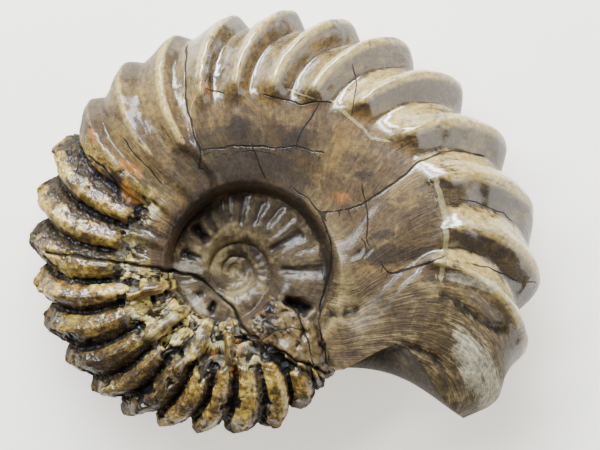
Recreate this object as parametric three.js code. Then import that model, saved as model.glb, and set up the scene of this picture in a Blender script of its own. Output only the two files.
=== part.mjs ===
// A polished fossil ammonite, one solid stone, lying on its side.
// Lengths are in millimetres and angles in degrees. Angles are measured around the coil from +X
// towards +Y, against the growth of the shell: the aperture has the lowest angle, and one turn
// further on the same place holds the whorl before it.
import * as THREE from 'three';

// The shell as it grew

const APERTURE = -33;
const TURN = 360;
const BREADTH = 39; // the last whorl from side to side, at the aperture
const THINNING = 2.15; // how many times thinner the whorl is one turn earlier
const RIB_SHARE = 0.078; // how far a rib stands out, as a share of its distance from the coil's centre
const FLANK_RIB_SHARE = 0.62; // how high a rib is on the flank, as a share of its height at the belly
const STEEP_SIDE = 1.25; // above 1 a side of a rib is hollow, below 1 it is full
const GENTLE_SIDE = 0.85;
const RIB_RISE = 0.13; // the outer ribs rise over this share of the whorl's height
const INNER_RIB_FULL = 0.18; // share of the whorl's height where the inner ribs are at their full height
// Where the flank turns down into the umbilicus, as a share of the whorl's height: [angle, share].
const SHOULDER = [[-60, 0.09], [150, 0.09], [240, 0.2], [327, 0.3], [400, 0.3]];
const WALL_FOOT = 0.9; // the wall of the umbilicus starts at this share of the inner whorl's height
const FLANK_POWER = 2.9; // a higher power makes the flank flatter
const VENTER_POWER = 2.1; // 2 is a round belly

// The spiral seam, where each whorl lies on the one before it: [angle, distance from the centre].
const SEAM = [
  [-60, 20.6], [-33, 20.5], [-10, 20.3], [0, 20.0], [30, 19.4], [50, 18.9], [75, 18.0], [90, 17.3],
  [105, 16.3], [120, 15.2], [135, 14.5], [150, 14.1], [180, 13.3], [225, 12.2], [270, 10.6],
  [300, 9.2], [327, 8.2], [360, 7.6], [400, 7.0], [440, 6.3], [490, 5.8], [540, 5.4], [630, 4.6],
  [687, 4.2], [810, 3.2], [1047, 2.0], [1407, 0.9],
];

// The ribs of the last whorl, each where it crosses the belly of the shell:
// [angle, distance from the centre, place of the furrow behind it as a share of the way to the next].
const RIBS = [
  [-40, 56.0, 0.5], [-27, 64.0, 0.4], [-15.5, 66.4, 0.48], [-2, 67.3, 0.4], [11.5, 67.1, 0.54],
  [25.5, 66.0, 0.55], [40, 64.5, 0.48], [53.5, 62.5, 0.5], [65.5, 60.3, 0.62], [77.5, 58.7, 0.68],
  [90, 56.3, 0.69], [104.5, 53.5, 0.63], [118, 51.7, 0.7], [130, 49.3, 0.52], [145.5, 48.2, 0.36],
  [158, 46.9, 0.4], [170.5, 45.8, 0.52], [183, 44.4, 0.5], [195, 43.6, 0.62], [208, 42.0, 0.67],
  [220, 40.9, 0.58], [232, 39.8, 0.67], [244, 38.1, 0.75], [256, 36.5, 0.6], [270.5, 35.8, 0.55],
  [285, 35.4, 0.48], [297.5, 34.0, 0.6], [310, 32.0, 0.55], [322, 31.2, 0.55], [334, 30.4, 0.5],
  [346, 29.4, 0.5],
];
// How strong the ribs are: worn away at the aperture, weaker at the top left, and smooth where the
// last whorl covers the one before it. [angle, share].
const RIB_STRENGTH = [
  [-60, 0.25], [-24, 0.25], [-14, 0.95], [-7, 0.8], [3.5, 0.5], [12, 0.7], [19, 0.85], [32, 1],
  [80, 1], [95, 0.65], [140, 0.7], [150, 1], [185, 1.05], [200, 0.85], [216, 0.75], [232, 1.05],
  [262, 0.85], [279, 0.5], [291, 1.1], [303, 0.4], [310, 0.2], [400, 0.2],
];
// Where the outer ribs begin on the flank, as a share of the whorl's height: [angle, share].
const RIB_FOOT = [
  [-60, 0.5], [-20, 0.48], [-8, 0.56], [0, 0.62], [35, 0.62], [50, 0.57], [80, 0.56], [94, 0.54],
  [103, 0.34], [112, 0.42], [125, 0.36], [140, 0.34], [165, 0.4], [180, 0.42], [400, 0.42],
];
// How far the crests are creased instead of round: [angle, share].
const CREST_CREASE = [[-60, 0.25], [90, 0.3], [140, 0.5], [400, 0.5]];
// The ribs of the inner half of the flank: [angle, half width, height].
const INNER_RIBS = [
  [12, 6, 0.35], [75, 6, 0.4], [101, 4.5, 1.3], [118, 4, 0.7], [131, 4, 0.8], [152, 5, 1.0],
  [184, 7, 2.1], [210, 7, 2.0], [237.5, 7.5, 2.0], [262.5, 7.5, 1.9], [287, 4, 0.8],
];
// The grooves between the ribs of the first inner whorl: [angle, distance from the coil's centre
// where it starts, where it ends, half width, depth].
const INNER_GROOVES = [
  [-29, 12.5, 18.6, 4.4, 2.2], [1, 10.0, 19.6, 4.6, 0.9], [30, 9.0, 17.4, 5.0, 0.9],
  [55, 12.5, 18, 3.6, 0.5], [68, 11, 17, 4.0, 0.6], [83, 10, 17.2, 4.4, 0.6],
  [104, 10, 15.8, 3.6, 0.5], [116, 9, 14, 4.4, 0.7], [132, 8.4, 13.6, 5.4, 2.0],
  [160, 7.8, 12.6, 5.0, 1.4], [190, 8, 12.6, 4.0, 0.4], [214, 8.0, 12, 6.0, 1.0],
  [239, 8.0, 10.8, 5, 1.1], [300, 8.6, 14, 5, 0.4], [318, 11, 18, 5, 0.6],
];

// How far the ribs sweep back from the belly towards the middle of the flank: [angle, degrees].
const SWEEP = [
  [-60, 16], [-15, 15.5], [0, 14], [50, 13], [75, 12], [90, 10], [98, 8.5], [118, 7.5], [220, 7], [400, 6],
];
const SWEEP_REACH = 0.84; // share of the whorl's height that the sweep takes up
const SWEEP_BEND = 0.6; // below 1 a rib turns back close to the belly
const SWEEP_KEPT = [[-60, 0], [112, 0], [140, 1], [240, 1], [262, 0.4], [400, 0]]; // on the inner flank
const SWEEP_FADE = 13; // the sweep dies out over this angle at the aperture
const OLD_SWEEP_FADE = 26; // and over this one at the other end of the last whorl

// The lip of the aperture reaches forward where it laps over the whorl before it.
const LIP = 15.5;
const LIP_RADIUS = 29.5;
const LIP_WIDTH = 4.6;
const LIP_FADE = 30;
// Further out the edge of the aperture is hollowed back.
const SCOOP = 9;
const SCOOP_RADIUS = 40;
const SCOOP_WIDTH = 10;
const UNDERCUT = 7; // the lower side of the aperture lies this far back from the upper one
const UNDERCUT_FROM = -3; // height above the middle plane where that starts
const APERTURE_HOLLOW = 1.5; // the filling of the aperture is sunk by this much in its middle

const HOLLOW_RIM = 12; // where the filling is thinner than this, it is sunk less

// A crack crosses the shell. Beyond it the surface is an uneven crust of crystals.
const CRACK = [[-45, 4], [-25.3, 2], [-13.2, -0.2], [-6.6, -2], [-1.5, -6.4], [1.1, -10.8], [5.9, -15.2],
  [14.3, -19.6], [19.8, -22.2]];
const CRUST_LUMP = 1.1; // height of the crust's lumps above and below its surface
const LUMP_SIZE = 3.6;
const CRUST_EDGE = 2; // half the width of the border between crust and polish
const CRUST_END = 19.5; // where the crust ends, from the coil's centre towards the aperture
const WEAR_LUMP = 0.2; // the same on the polished side
const LUMP_TURN = 45; // at this distance from the centre the lumps start to point outwards

// How the shell lies: its thick end lifts that side, and what it rests on is worn flat.
const TILT_ABOUT_Y = -2.4; // degrees
const TILT_ABOUT_X = -4.6;
const CENTRE_HEIGHT = 16.0; // the middle of the coil above the surface that the shell lies on
const CENTRE_X = -11.0;
const CENTRE_Y = -10.4;

// How finely the surface is cut into faces

const SECTION_STEPS = 10; // from the umbilicus over the flank to the belly
const WALL_STEPS = 0.2; // share of those steps on the wall of the umbilicus
const UMBILICUS_STEPS = [5, 3, 2]; // rings in each whorl of the umbilicus, from the outside in
const BLEND_FROM = 235; // from here the rings of the umbilicus move out to meet the aperture
const FACE_ROWS = 4; // from the old whorl to the edge of the aperture
const LEAST_STEP = 1.5; // between the aperture and the column next to it
const CENTRE_WHORL = APERTURE + 3.4 * TURN; // the whorl that the centre of the coil is as high as

const radians = THREE.MathUtils.degToRad;
const { clamp, lerp, smoothstep } = THREE.MathUtils;

// The value of a list of [place, value] pairs at any place, along a smooth curve through them.
function along(list, x) {
  const last = list.length - 1;
  if (x <= list[0][0]) return list[0][1];
  if (x >= list[last][0]) return list[last][1];
  const i = list.findIndex((pair) => pair[0] > x) - 1;
  const slope = (k) => {
    const a = list[Math.max(k - 1, 0)];
    const b = list[Math.min(k + 1, last)];
    return (b[1] - a[1]) / (b[0] - a[0]);
  };
  const [x0, y0] = list[i];
  const [x1, y1] = list[i + 1];
  const span = x1 - x0;
  const t = (x - x0) / span;
  const bend = t * t * (3 - 2 * t);
  return lerp(y0, y1, bend) + span * t * (1 - t) * (slope(i) * (1 - t) - slope(i + 1) * t);
}

const seam = (angle) => along(SEAM, angle);
const halfBreadth = (angle) => (BREADTH / 2) * THINNING ** (-(angle - APERTURE) / TURN);

// The ribs

const RIB_REACH = RIBS.map(([angle, reach]) => [angle, reach]);

// How far the ribs reach from the centre, further in for the inner whorls.
function reach(angle) {
  if (angle <= APERTURE + TURN) return along(RIB_REACH, angle);
  return along(RIB_REACH, APERTURE + TURN) * THINNING ** (-(angle - APERTURE - TURN) / TURN);
}

const furrow = (angle) => reach(angle) * (1 - RIB_SHARE * along(RIB_STRENGTH, angle));

// 1 on the crest of a rib and 0 in the furrow. The side towards higher angles is the steep one.
function ribRise(angle) {
  const i = clamp(RIBS.findIndex((rib) => rib[0] > angle) - 1, 0, RIBS.length - 2);
  const [from, , share] = RIBS[i];
  const to = RIBS[i + 1][0];
  const low = lerp(from, to, share);
  const steep = angle < low;
  const t = clamp(steep ? (angle - from) / (low - from) : (to - angle) / (to - low), 0, 1);
  const rounded = (0.5 + 0.5 * Math.cos(Math.PI * t)) ** (steep ? STEEP_SIDE : GENTLE_SIDE);
  return lerp(rounded, 1 - t, along(CREST_CREASE, angle));
}

function innerRibRise(angle) {
  const heights = INNER_RIBS.map(([at, width, high]) => {
    const t = clamp(1 - Math.abs(angle - at) / width, 0, 1);
    return high * t * t * (3 - 2 * t);
  });
  return Math.max(...heights);
}

// How far the ribs stand out at one place of the flank, height being 0 at the seam and 1 at the belly.
function ribHeight(angle, height) {
  const foot = along(RIB_FOOT, angle);
  const outer = smoothstep(height, foot - RIB_RISE / 2, foot + RIB_RISE / 2);
  const inner = smoothstep(height, 0, INNER_RIB_FULL) * (1 - outer);
  const full = (reach(angle) - furrow(angle)) * lerp(FLANK_RIB_SHARE, 1, smoothstep(height, 0.75, 1));
  return full * outer * ribRise(angle) + inner * innerRibRise(angle);
}

// How deep the grooves of the inner whorl are at one place in plan.
function innerGroove(around, radius) {
  const depths = INNER_GROOVES.map(([at, from, to, width, deep]) => {
    const aside = (THREE.MathUtils.euclideanModulo(around - at + TURN / 2, TURN) - TURN / 2) / width;
    const inside = smoothstep(radius, from - 1, from + 1) * (1 - smoothstep(radius, to - 1, to + 0.5));
    return deep * Math.exp(-(aside ** 2)) * inside;
  });
  return Math.max(...depths);
}

// The whorl's section

// Height above the middle plane at one place of the flank, without ribs.
function flankLevel(angle, height) {
  const top = halfBreadth(angle) - 0.5 * (reach(angle) - furrow(angle));
  const foot = halfBreadth(angle + TURN) * WALL_FOOT;
  const shoulder = along(SHOULDER, angle);
  if (height < shoulder) {
    const t = 1 - height / shoulder;
    return lerp(foot, top, Math.sqrt(Math.max(0, 1 - t * t)));
  }
  const t = Math.min(1, (height - shoulder) / (1 - shoulder));
  return top * (1 - t ** FLANK_POWER) ** (1 / VENTER_POWER);
}

// The surface at any distance from the centre inside the umbilicus: the highest whorl there.
function umbilicusLevel(angle, radius) {
  let whorl = angle;
  while (seam(whorl) > radius && whorl < angle + 3 * TURN) whorl += TURN;
  const from = seam(whorl);
  const height = clamp((radius - from) / (furrow(whorl) - from), 0, 1);
  const ribs = whorl > angle ? 0 : ribHeight(whorl, height);
  return flankLevel(whorl, height) + ribs;
}

// How much of the sweep there is: none at the belly, all at mid-flank, and less again further in.
function sweepShare(angle, height) {
  const inward = 1 - height;
  const turn = (Math.PI * clamp(inward, 0, SWEEP_REACH)) / SWEEP_REACH;
  const bend = Math.max(0, Math.sin(turn)) ** SWEEP_BEND;
  if (inward < SWEEP_REACH / 2) return bend;
  return lerp(bend, 1, along(SWEEP_KEPT, angle) * clamp(1 + 2.5 * height, 0, 1));
}

// The sweep of the ribs, the forward lip and the undercut, as turns of each place around the coil.
function turned(angle, radius, height, level) {
  const ends = smoothstep(angle, APERTURE, APERTURE + SWEEP_FADE)
    * (1 - smoothstep(angle, APERTURE + TURN - OLD_SWEEP_FADE, APERTURE + TURN));
  const sweep = along(SWEEP, angle) * sweepShare(angle, height);
  const nearLip = 1 - smoothstep(Math.min(angle - APERTURE, APERTURE + TURN - angle), 0, LIP_FADE);
  const lip = LIP * Math.exp(-(((radius - LIP_RADIUS) / LIP_WIDTH) ** 2));
  const scoop = SCOOP * Math.exp(-(((radius - SCOOP_RADIUS) / SCOOP_WIDTH) ** 2));
  const under = UNDERCUT * smoothstep(-level, UNDERCUT_FROM, BREADTH / 2);
  return angle + ends * sweep + nearLip * (scoop - lip + under);
}

function place(angle, radius, height, level) {
  const a = radians(turned(angle, radius, height, level));
  return new THREE.Vector3(radius * Math.cos(a), radius * Math.sin(a), level);
}

// The crust

// A repeatable number from 0 to 1 for each point of a lattice.
function latticeValue(i, j, k) {
  const mixed = Math.sin(i * 127.1 + j * 311.7 + k * 74.7) * 43758.5453;
  return mixed - Math.floor(mixed);
}

// Smooth noise from -1 to 1.
function lump(p) {
  const cell = p.clone().divideScalar(LUMP_SIZE);
  const base = cell.clone().floor();
  const f = cell.sub(base);
  const [u, v, w] = [f.x, f.y, f.z].map((t) => t * t * (3 - 2 * t));
  const corner = (i, j, k) => latticeValue(base.x + i, base.y + j, base.z + k);
  const edge = (j, k) => lerp(corner(0, j, k), corner(1, j, k), u);
  return 2 * lerp(lerp(edge(0, 0), edge(1, 0), v), lerp(edge(0, 1), edge(1, 1), v), w) - 1;
}

// 1 on the crust's side of the crack and 0 on the polished side.
function crust(p) {
  const crackY = along(CRACK, p.x);
  const beyond = smoothstep(crackY - p.y, -CRUST_EDGE, CRUST_EDGE);
  return beyond * smoothstep(CRUST_END - p.x, -CRUST_EDGE, CRUST_EDGE);
}

// Moves a point out along the section's normal by the lumps there.
function roughened(p, outward) {
  const amount = lerp(WEAR_LUMP, CRUST_LUMP, crust(p)) * lump(p);
  return p.clone().addScaledVector(outward, amount);
}

// Columns of points, from the middle of the upper umbilicus over the belly to the lower one

// Where the umbilicus ends in each column. Past BLEND_FROM its rings move out over the flank of
// the last whorl, so that the first and the last column have the same rings.
function ringRadius(angle, whorl) {
  const own = seam(angle + whorl * TURN);
  const next = seam(APERTURE + whorl * TURN);
  return lerp(own, next, smoothstep(angle, BLEND_FROM, APERTURE + TURN));
}

// The radii of one column's points in the umbilicus, from the outside in, without the centre.
function umbilicusRadii(angle) {
  return UMBILICUS_STEPS.flatMap((steps, whorl) => {
    const outer = ringRadius(angle, whorl);
    const inner = ringRadius(angle, whorl + 1);
    return Array.from({ length: steps }, (_, i) => lerp(outer, inner, (i + 1) / steps));
  });
}

// One column's points on the last whorl, from the edge of the umbilicus to the belly.
function whorlPoints(angle, side) {
  const from = seam(angle);
  const start = (ringRadius(angle, 0) - from) / (furrow(angle) - from);
  const points = [];
  for (let i = 0; i <= SECTION_STEPS; i++) {
    points.push(whorlPoint(angle, sectionHeight(angle, start, i / SECTION_STEPS), side));
  }
  return points;
}

// A point inside the umbilicus. Only the upper side shows the grooves of the inner whorl.
function umbilicusPoint(angle, radius, side) {
  const height = (radius - seam(angle)) / (furrow(angle) - seam(angle));
  const p = place(angle, radius, height, side * umbilicusLevel(angle, radius));
  const around = THREE.MathUtils.radToDeg(Math.atan2(p.y, p.x));
  if (side > 0) p.z -= innerGroove(around, radius);
  return p;
}

// Spreads the steps evenly along the section: over the wall, the flank and then the belly.
function sectionHeight(angle, start, t) {
  const shoulder = along(SHOULDER, angle);
  const wall = Math.max(0, WALL_STEPS * (1 - start / shoulder));
  if (t < wall) return start + (shoulder - start) * (1 - Math.cos((t / wall) * (Math.PI / 2)));
  const low = Math.max(start, shoulder);
  const lowTurn = Math.asin(((low - shoulder) / (1 - shoulder)) ** (FLANK_POWER / 2));
  const turn = lerp(lowTurn, Math.PI / 2, (t - wall) / (1 - wall));
  return shoulder + (1 - shoulder) * Math.sin(turn) ** (2 / FLANK_POWER);
}

function whorlPoint(angle, height, side) {
  const from = seam(angle);
  const span = furrow(angle) - from;
  const radius = from + span * height;
  const level = flankLevel(angle, height);
  const shoulder = along(SHOULDER, angle);
  const t = Math.max(0, (height - shoulder) / (1 - shoulder));
  const across = (t ** (FLANK_POWER - 1) * FLANK_POWER) / span;
  const up = ((level / halfBreadth(angle)) ** (VENTER_POWER - 1) * VENTER_POWER) / halfBreadth(angle);
  const size = Math.hypot(across, up) || 1;
  const out = ribHeight(angle, height);
  return place(angle, radius + (out * across) / size, height, side * (level + (out * up) / size));
}

// One column's points on one side, from the middle of the umbilicus to the belly.
function halfColumn(angle, side) {
  const umbilicus = umbilicusRadii(angle).map((r) => umbilicusPoint(angle, r, side));
  return [...umbilicus.reverse(), ...whorlPoints(angle, side)];
}

// Points of one column: the upper side down to the belly, then the lower side back to the middle.
function column(angle) {
  return [...halfColumn(angle, 1), ...halfColumn(angle, -1).slice(0, -1).reverse()];
}

function columnAngles() {
  const angles = [];
  for (let i = 0; i < RIBS.length - 1; i++) {
    const [from, , share] = RIBS[i];
    const to = RIBS[i + 1][0];
    const low = lerp(from, to, share);
    angles.push(from, lerp(from, low, 0.5), low, lerp(low, to, 0.5));
  }
  const inside = angles.filter((a) => a > APERTURE + LEAST_STEP && a < APERTURE + TURN - LEAST_STEP);
  return [APERTURE, ...inside, APERTURE + TURN];
}

// Rows that fill the aperture, between the section of the old whorl and that of the last one.
function facePoints(oldColumn, lastColumn, row) {
  const share = row / FACE_ROWS;
  return oldColumn.map((from, j) => {
    const p = from.clone().lerp(lastColumn[j], share);
    const gap = from.distanceTo(lastColumn[j]);
    const a = radians(APERTURE);
    const hollow = APERTURE_HOLLOW * Math.sin(Math.PI * share) * smoothstep(gap, 0, HOLLOW_RIM);
    return p.add(new THREE.Vector3(-Math.sin(a) * hollow, Math.cos(a) * hollow, 0));
  });
}

// A direction roughly square to the surface: up or down on the flanks and outwards on the belly.
function outwardOf(p) {
  const flat = Math.hypot(p.x, p.y) / LUMP_TURN;
  return new THREE.Vector3(p.x * flat, p.y * flat, p.z * 2).normalize();
}

// The shell lies down: it tilts, and its lowest places are cut off flat.
function laidDown(p) {
  const tilt = new THREE.Euler(radians(TILT_ABOUT_X), radians(TILT_ABOUT_Y), 0);
  const q = p.clone().applyEuler(tilt).add(new THREE.Vector3(CENTRE_X, CENTRE_Y, CENTRE_HEIGHT));
  q.z = Math.max(0, q.z);
  return q;
}

function shellGeometry() {
  const columns = columnAngles().map(column);
  const rows = columns[0].length;
  const [last, old] = [columns[0], columns[columns.length - 1]];
  for (let row = 1; row < FACE_ROWS; row++) columns.push(facePoints(old, last, row));

  const points = [];
  const index = [];
  for (const p of columns.flat()) points.push(...laidDown(roughened(p, outwardOf(p))).toArray());
  const centreLevel = halfBreadth(CENTRE_WHORL);
  const top = points.length / 3;
  points.push(...laidDown(new THREE.Vector3(0, 0, centreLevel)).toArray());
  points.push(...laidDown(new THREE.Vector3(0, 0, -centreLevel)).toArray());

  const at = (i, j) => (i % columns.length) * rows + j;
  for (let i = 0; i < columns.length; i++) {
    index.push(top, at(i, 0), at(i + 1, 0));
    for (let j = 0; j + 1 < rows; j++) {
      index.push(at(i, j), at(i, j + 1), at(i + 1, j));
      index.push(at(i + 1, j), at(i, j + 1), at(i + 1, j + 1));
    }
    index.push(top + 1, at(i + 1, rows - 1), at(i, rows - 1));
  }
  const geometry = new THREE.BufferGeometry();
  geometry.setAttribute('position', new THREE.Float32BufferAttribute(points, 3));
  geometry.setIndex(index);
  geometry.computeVertexNormals();
  return geometry;
}

const stone = new THREE.MeshStandardMaterial({ color: 0x8f7d63, roughness: 0.35, metalness: 0 });
const ammonite = new THREE.Mesh(shellGeometry(), stone);
ammonite.name = 'ammonite';

const group = new THREE.Group();
group.add(ammonite);

export default group;
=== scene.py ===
"""A polished fossil ammonite, half of it brown lacquered stone and half a crust of golden crystals.

Lengths are in millimetres until a mesh is made, and angles in degrees. Angles run around the coil
from +X towards +Y, against the growth of the shell, so one turn further on lies the whorl before.
Places named px are pixels of the 600 x 450 photo, and become millimetres from the coil's centre.
"""

import bpy
import numpy as np
from mathutils import Matrix, Vector


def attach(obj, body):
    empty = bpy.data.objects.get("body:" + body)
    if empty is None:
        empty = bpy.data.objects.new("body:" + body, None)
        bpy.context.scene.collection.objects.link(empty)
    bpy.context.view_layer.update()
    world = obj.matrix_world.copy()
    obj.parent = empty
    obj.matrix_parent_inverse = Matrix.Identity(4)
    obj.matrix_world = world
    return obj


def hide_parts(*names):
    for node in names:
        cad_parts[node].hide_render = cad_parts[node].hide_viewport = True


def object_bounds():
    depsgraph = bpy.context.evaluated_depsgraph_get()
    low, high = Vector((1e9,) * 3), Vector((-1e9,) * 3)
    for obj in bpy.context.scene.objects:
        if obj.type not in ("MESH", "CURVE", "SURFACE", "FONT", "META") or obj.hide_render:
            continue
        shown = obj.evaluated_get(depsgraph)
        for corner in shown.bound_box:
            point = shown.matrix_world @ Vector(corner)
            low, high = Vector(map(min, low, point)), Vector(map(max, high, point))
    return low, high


bl_info = {
    "name": "Fossil ammonite",
    "version": (1, 0, 0),
    "blender": (4, 5, 0),
    "location": "View3D > Sidebar > Ammonite",
    "description": "A ribbed fossil shell, polished on one side of a crack and crystalline on the other",
    "category": "Add Mesh",
}

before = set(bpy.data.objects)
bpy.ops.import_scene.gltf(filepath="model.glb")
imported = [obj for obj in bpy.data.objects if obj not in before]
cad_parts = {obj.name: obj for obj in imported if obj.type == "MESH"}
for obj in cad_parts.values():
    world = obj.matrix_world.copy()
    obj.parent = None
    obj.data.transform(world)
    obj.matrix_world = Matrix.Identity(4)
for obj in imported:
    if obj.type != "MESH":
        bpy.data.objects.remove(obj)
CAD_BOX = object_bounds()

MM = 0.001
NODE = "ammonite"

# The shell's form, as in the solid that this piece stands for

APERTURE = -33.0
TURN = 360.0
OLD_END = APERTURE + TURN
BREADTH = 39.0
THINNING = 2.15
RIB_SHARE = 0.078
FLANK_RIB_SHARE = 0.62
INNER_RIB_FULL = 0.18
SHOULDER = [(-60, 0.09), (150, 0.09), (240, 0.2), (327, 0.3), (400, 0.3)]
WALL_FOOT = 0.9
FLANK_POWER = 2.9
VENTER_POWER = 2.1

SEAM = [
    (-60, 20.6), (-33, 20.5), (-10, 20.3), (0, 20.0), (30, 19.4), (50, 18.9), (75, 18.0), (90, 17.3),
    (105, 16.3), (120, 15.2), (135, 14.5), (150, 14.1), (180, 13.3), (225, 12.2), (270, 10.6),
    (300, 9.2), (327, 8.2), (360, 7.6), (400, 7.0), (440, 6.3), (490, 5.8), (540, 5.4), (630, 4.6),
    (687, 4.2), (810, 3.2), (1047, 2.0), (1407, 0.9),
]

# Each rib of the last whorl at the belly: angle, distance from the centre, and where the furrow
# behind it lies as a share of the way to the next rib.
RIBS = [
    (-40, 56.0, 0.5), (-27, 64.0, 0.4), (-15.5, 66.4, 0.48), (-2, 67.3, 0.4), (11.5, 67.1, 0.54),
    (25.5, 66.0, 0.55), (40, 64.5, 0.48), (53.5, 62.5, 0.5), (65.5, 60.3, 0.62), (77.5, 58.7, 0.68),
    (90, 56.3, 0.69), (104.5, 53.5, 0.63), (118, 51.7, 0.7), (130, 49.3, 0.52), (145.5, 48.2, 0.36),
    (158, 46.9, 0.4), (170.5, 45.8, 0.52), (183, 44.4, 0.5), (195, 43.6, 0.62), (208, 42.0, 0.67),
    (220, 40.9, 0.58), (232, 39.8, 0.67), (244, 38.1, 0.75), (256, 36.5, 0.6), (270.5, 35.8, 0.55),
    (285, 35.4, 0.48), (297.5, 34.0, 0.6), (310, 32.0, 0.55), (322, 31.2, 0.55), (334, 30.4, 0.5),
    (346, 29.4, 0.5),
]
RIB_ANGLE, RIB_REACH, RIB_FURROW = (np.array(column, float) for column in zip(*RIBS))

RIB_STRENGTH = [
    (-60, 0.25), (-24, 0.25), (-14, 0.95), (-7, 0.8), (3.5, 0.5), (12, 0.7), (19, 0.85), (32, 1),
    (80, 1), (95, 0.65), (140, 0.7), (150, 1), (185, 1.05), (200, 0.85), (216, 0.75), (232, 1.05),
    (262, 0.85), (279, 0.5), (291, 1.1), (303, 0.4), (310, 0.2), (400, 0.2),
]

# Where the outer ribs begin on the flank, as a share of the way from umbilicus to belly
RIB_FOOT = [
    (-60, 0.5), (-20, 0.48), (-8, 0.56), (0, 0.62), (35, 0.62), (50, 0.57), (80, 0.56), (94, 0.54),
    (103, 0.34), (112, 0.42), (125, 0.36), (140, 0.34), (165, 0.4), (180, 0.42), (400, 0.42),
]
RIB_RISE = 0.13

# Ribs of the inner flank: angle, half width, height
INNER_RIBS = [
    (12, 6, 0.15), (75, 6, 0.4), (101, 4.5, 1.3), (118, 4, 0.7), (131, 4, 0.8), (152, 5, 1.0),
    (184, 7, 1.9), (210, 7, 1.8), (237.5, 7.5, 1.8), (262.5, 7.5, 1.7), (287, 4, 0.8),
]
CREST_CREASE = [(-60, 0.25), (90, 0.3), (140, 0.5), (400, 0.5)]
STEEP_SIDE = 1.25
GENTLE_SIDE = 0.85

SWEEP = [
    (-60, 16), (-15, 15.5), (0, 14), (50, 13), (75, 12), (90, 10), (98, 8.5), (118, 7.5), (220, 7),
    (400, 6),
]
SWEEP_REACH = 0.84
SWEEP_BEND = 0.6
SWEEP_KEPT = [(-60, 0), (112, 0), (140, 1), (240, 1), (262, 0.4), (400, 0)]
SWEEP_FADE = 13.0
OLD_SWEEP_FADE = 26.0

LIP = 15.5
LIP_RADIUS = 29.5
LIP_WIDTH = 4.6
LIP_FADE = 30.0
SCOOP = 9.0
SCOOP_RADIUS = 40.0
SCOOP_WIDTH = 10.0
UNDERCUT = 7.0
HOLLOW = 4.0
HOLLOW_RIM = 12.0

TILT_ABOUT_X = -4.6
TILT_ABOUT_Y = -2.4
COIL_CENTRE = (-11.0, -10.4, 16.0)

# The inner whorl's ribs are the swellings between these grooves: angle in plan, radius from, radius
# to, half width, depth.
INNER_GROOVES = [
    (-29, 12.5, 18.6, 4.4, 2.2), (1, 10.0, 19.6, 4.6, 1.1), (18, 14, 19, 3.5, 0.3),
    (30, 9.0, 17.4, 5.0, 1.1), (43, 11, 18, 3.0, 0.35), (55, 12.5, 18, 3.6, 0.6),
    (68, 11, 17, 4.0, 0.7), (83, 10, 17.2, 4.4, 0.7), (95, 11, 16.5, 3.0, 0.35),
    (104, 10, 15.8, 3.6, 0.6), (116, 9, 14, 4.4, 0.9), (132, 8.4, 13.6, 5.4, 1.9),
    (160, 7.8, 12.6, 5.0, 1.3), (190, 8, 12.6, 4.0, 0.5), (214, 8.0, 12, 6.0, 0.9),
    (239, 8.0, 10.8, 5, 1.1), (262, 8.2, 11, 4, 0.6), (300, 8.6, 14, 5, 0.5), (318, 11, 18, 5, 0.8),
]
# Which of them are broken open and black, with the same five measures
OPEN_GROOVES = [
    (-29, 12.8, 18.2, 3.6, 1.0), (132, 9.0, 13.2, 4.2, 1.0), (160, 9.4, 12.2, 3.0, 0.8),
    (239, 8.2, 10.4, 4, 0.9), (214, 9.0, 11.0, 4, 0.7),
]
THIRD_WHORL_GROOVES = [
    (-24, 5.4, 7.6, 4, 0.16), (-10, 5.2, 7.4, 4, 0.16), (4, 5.0, 7.2, 4, 0.16), (18, 4.8, 7.0, 4, 0.16),
    (34, 4.6, 6.6, 5, 0.18), (60, 3.4, 4.9, 14, 0.4), (100, 3.2, 4.9, 16, 0.45), (20, 2.6, 3.6, 26, 0.4),
    (225, 4.4, 5.8, 5, 0.16), (252, 5.2, 6.6, 5, 0.18), (275, 5.2, 7, 5, 0.18), (298, 5.4, 7.4, 5, 0.18),
    (318, 5.6, 7.6, 5, 0.18),
]

PIXEL = 0.22
PHOTO_WIDTH = 600
PHOTO_MIDDLE = (300, 225)
COIL_PX = (235.0, 271.0)

# The main crack, between the polished stone and the crystals
MAIN_CRACK = [
    (50, 252), (60, 253), (90, 258), (120, 262), (148, 266), (175, 271), (192, 275), (205, 280),
    (218, 290), (228, 300), (236, 310), (240, 320), (250, 332), (262, 340), (280, 351), (300, 360),
    (314, 366), (325, 372),
]

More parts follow.
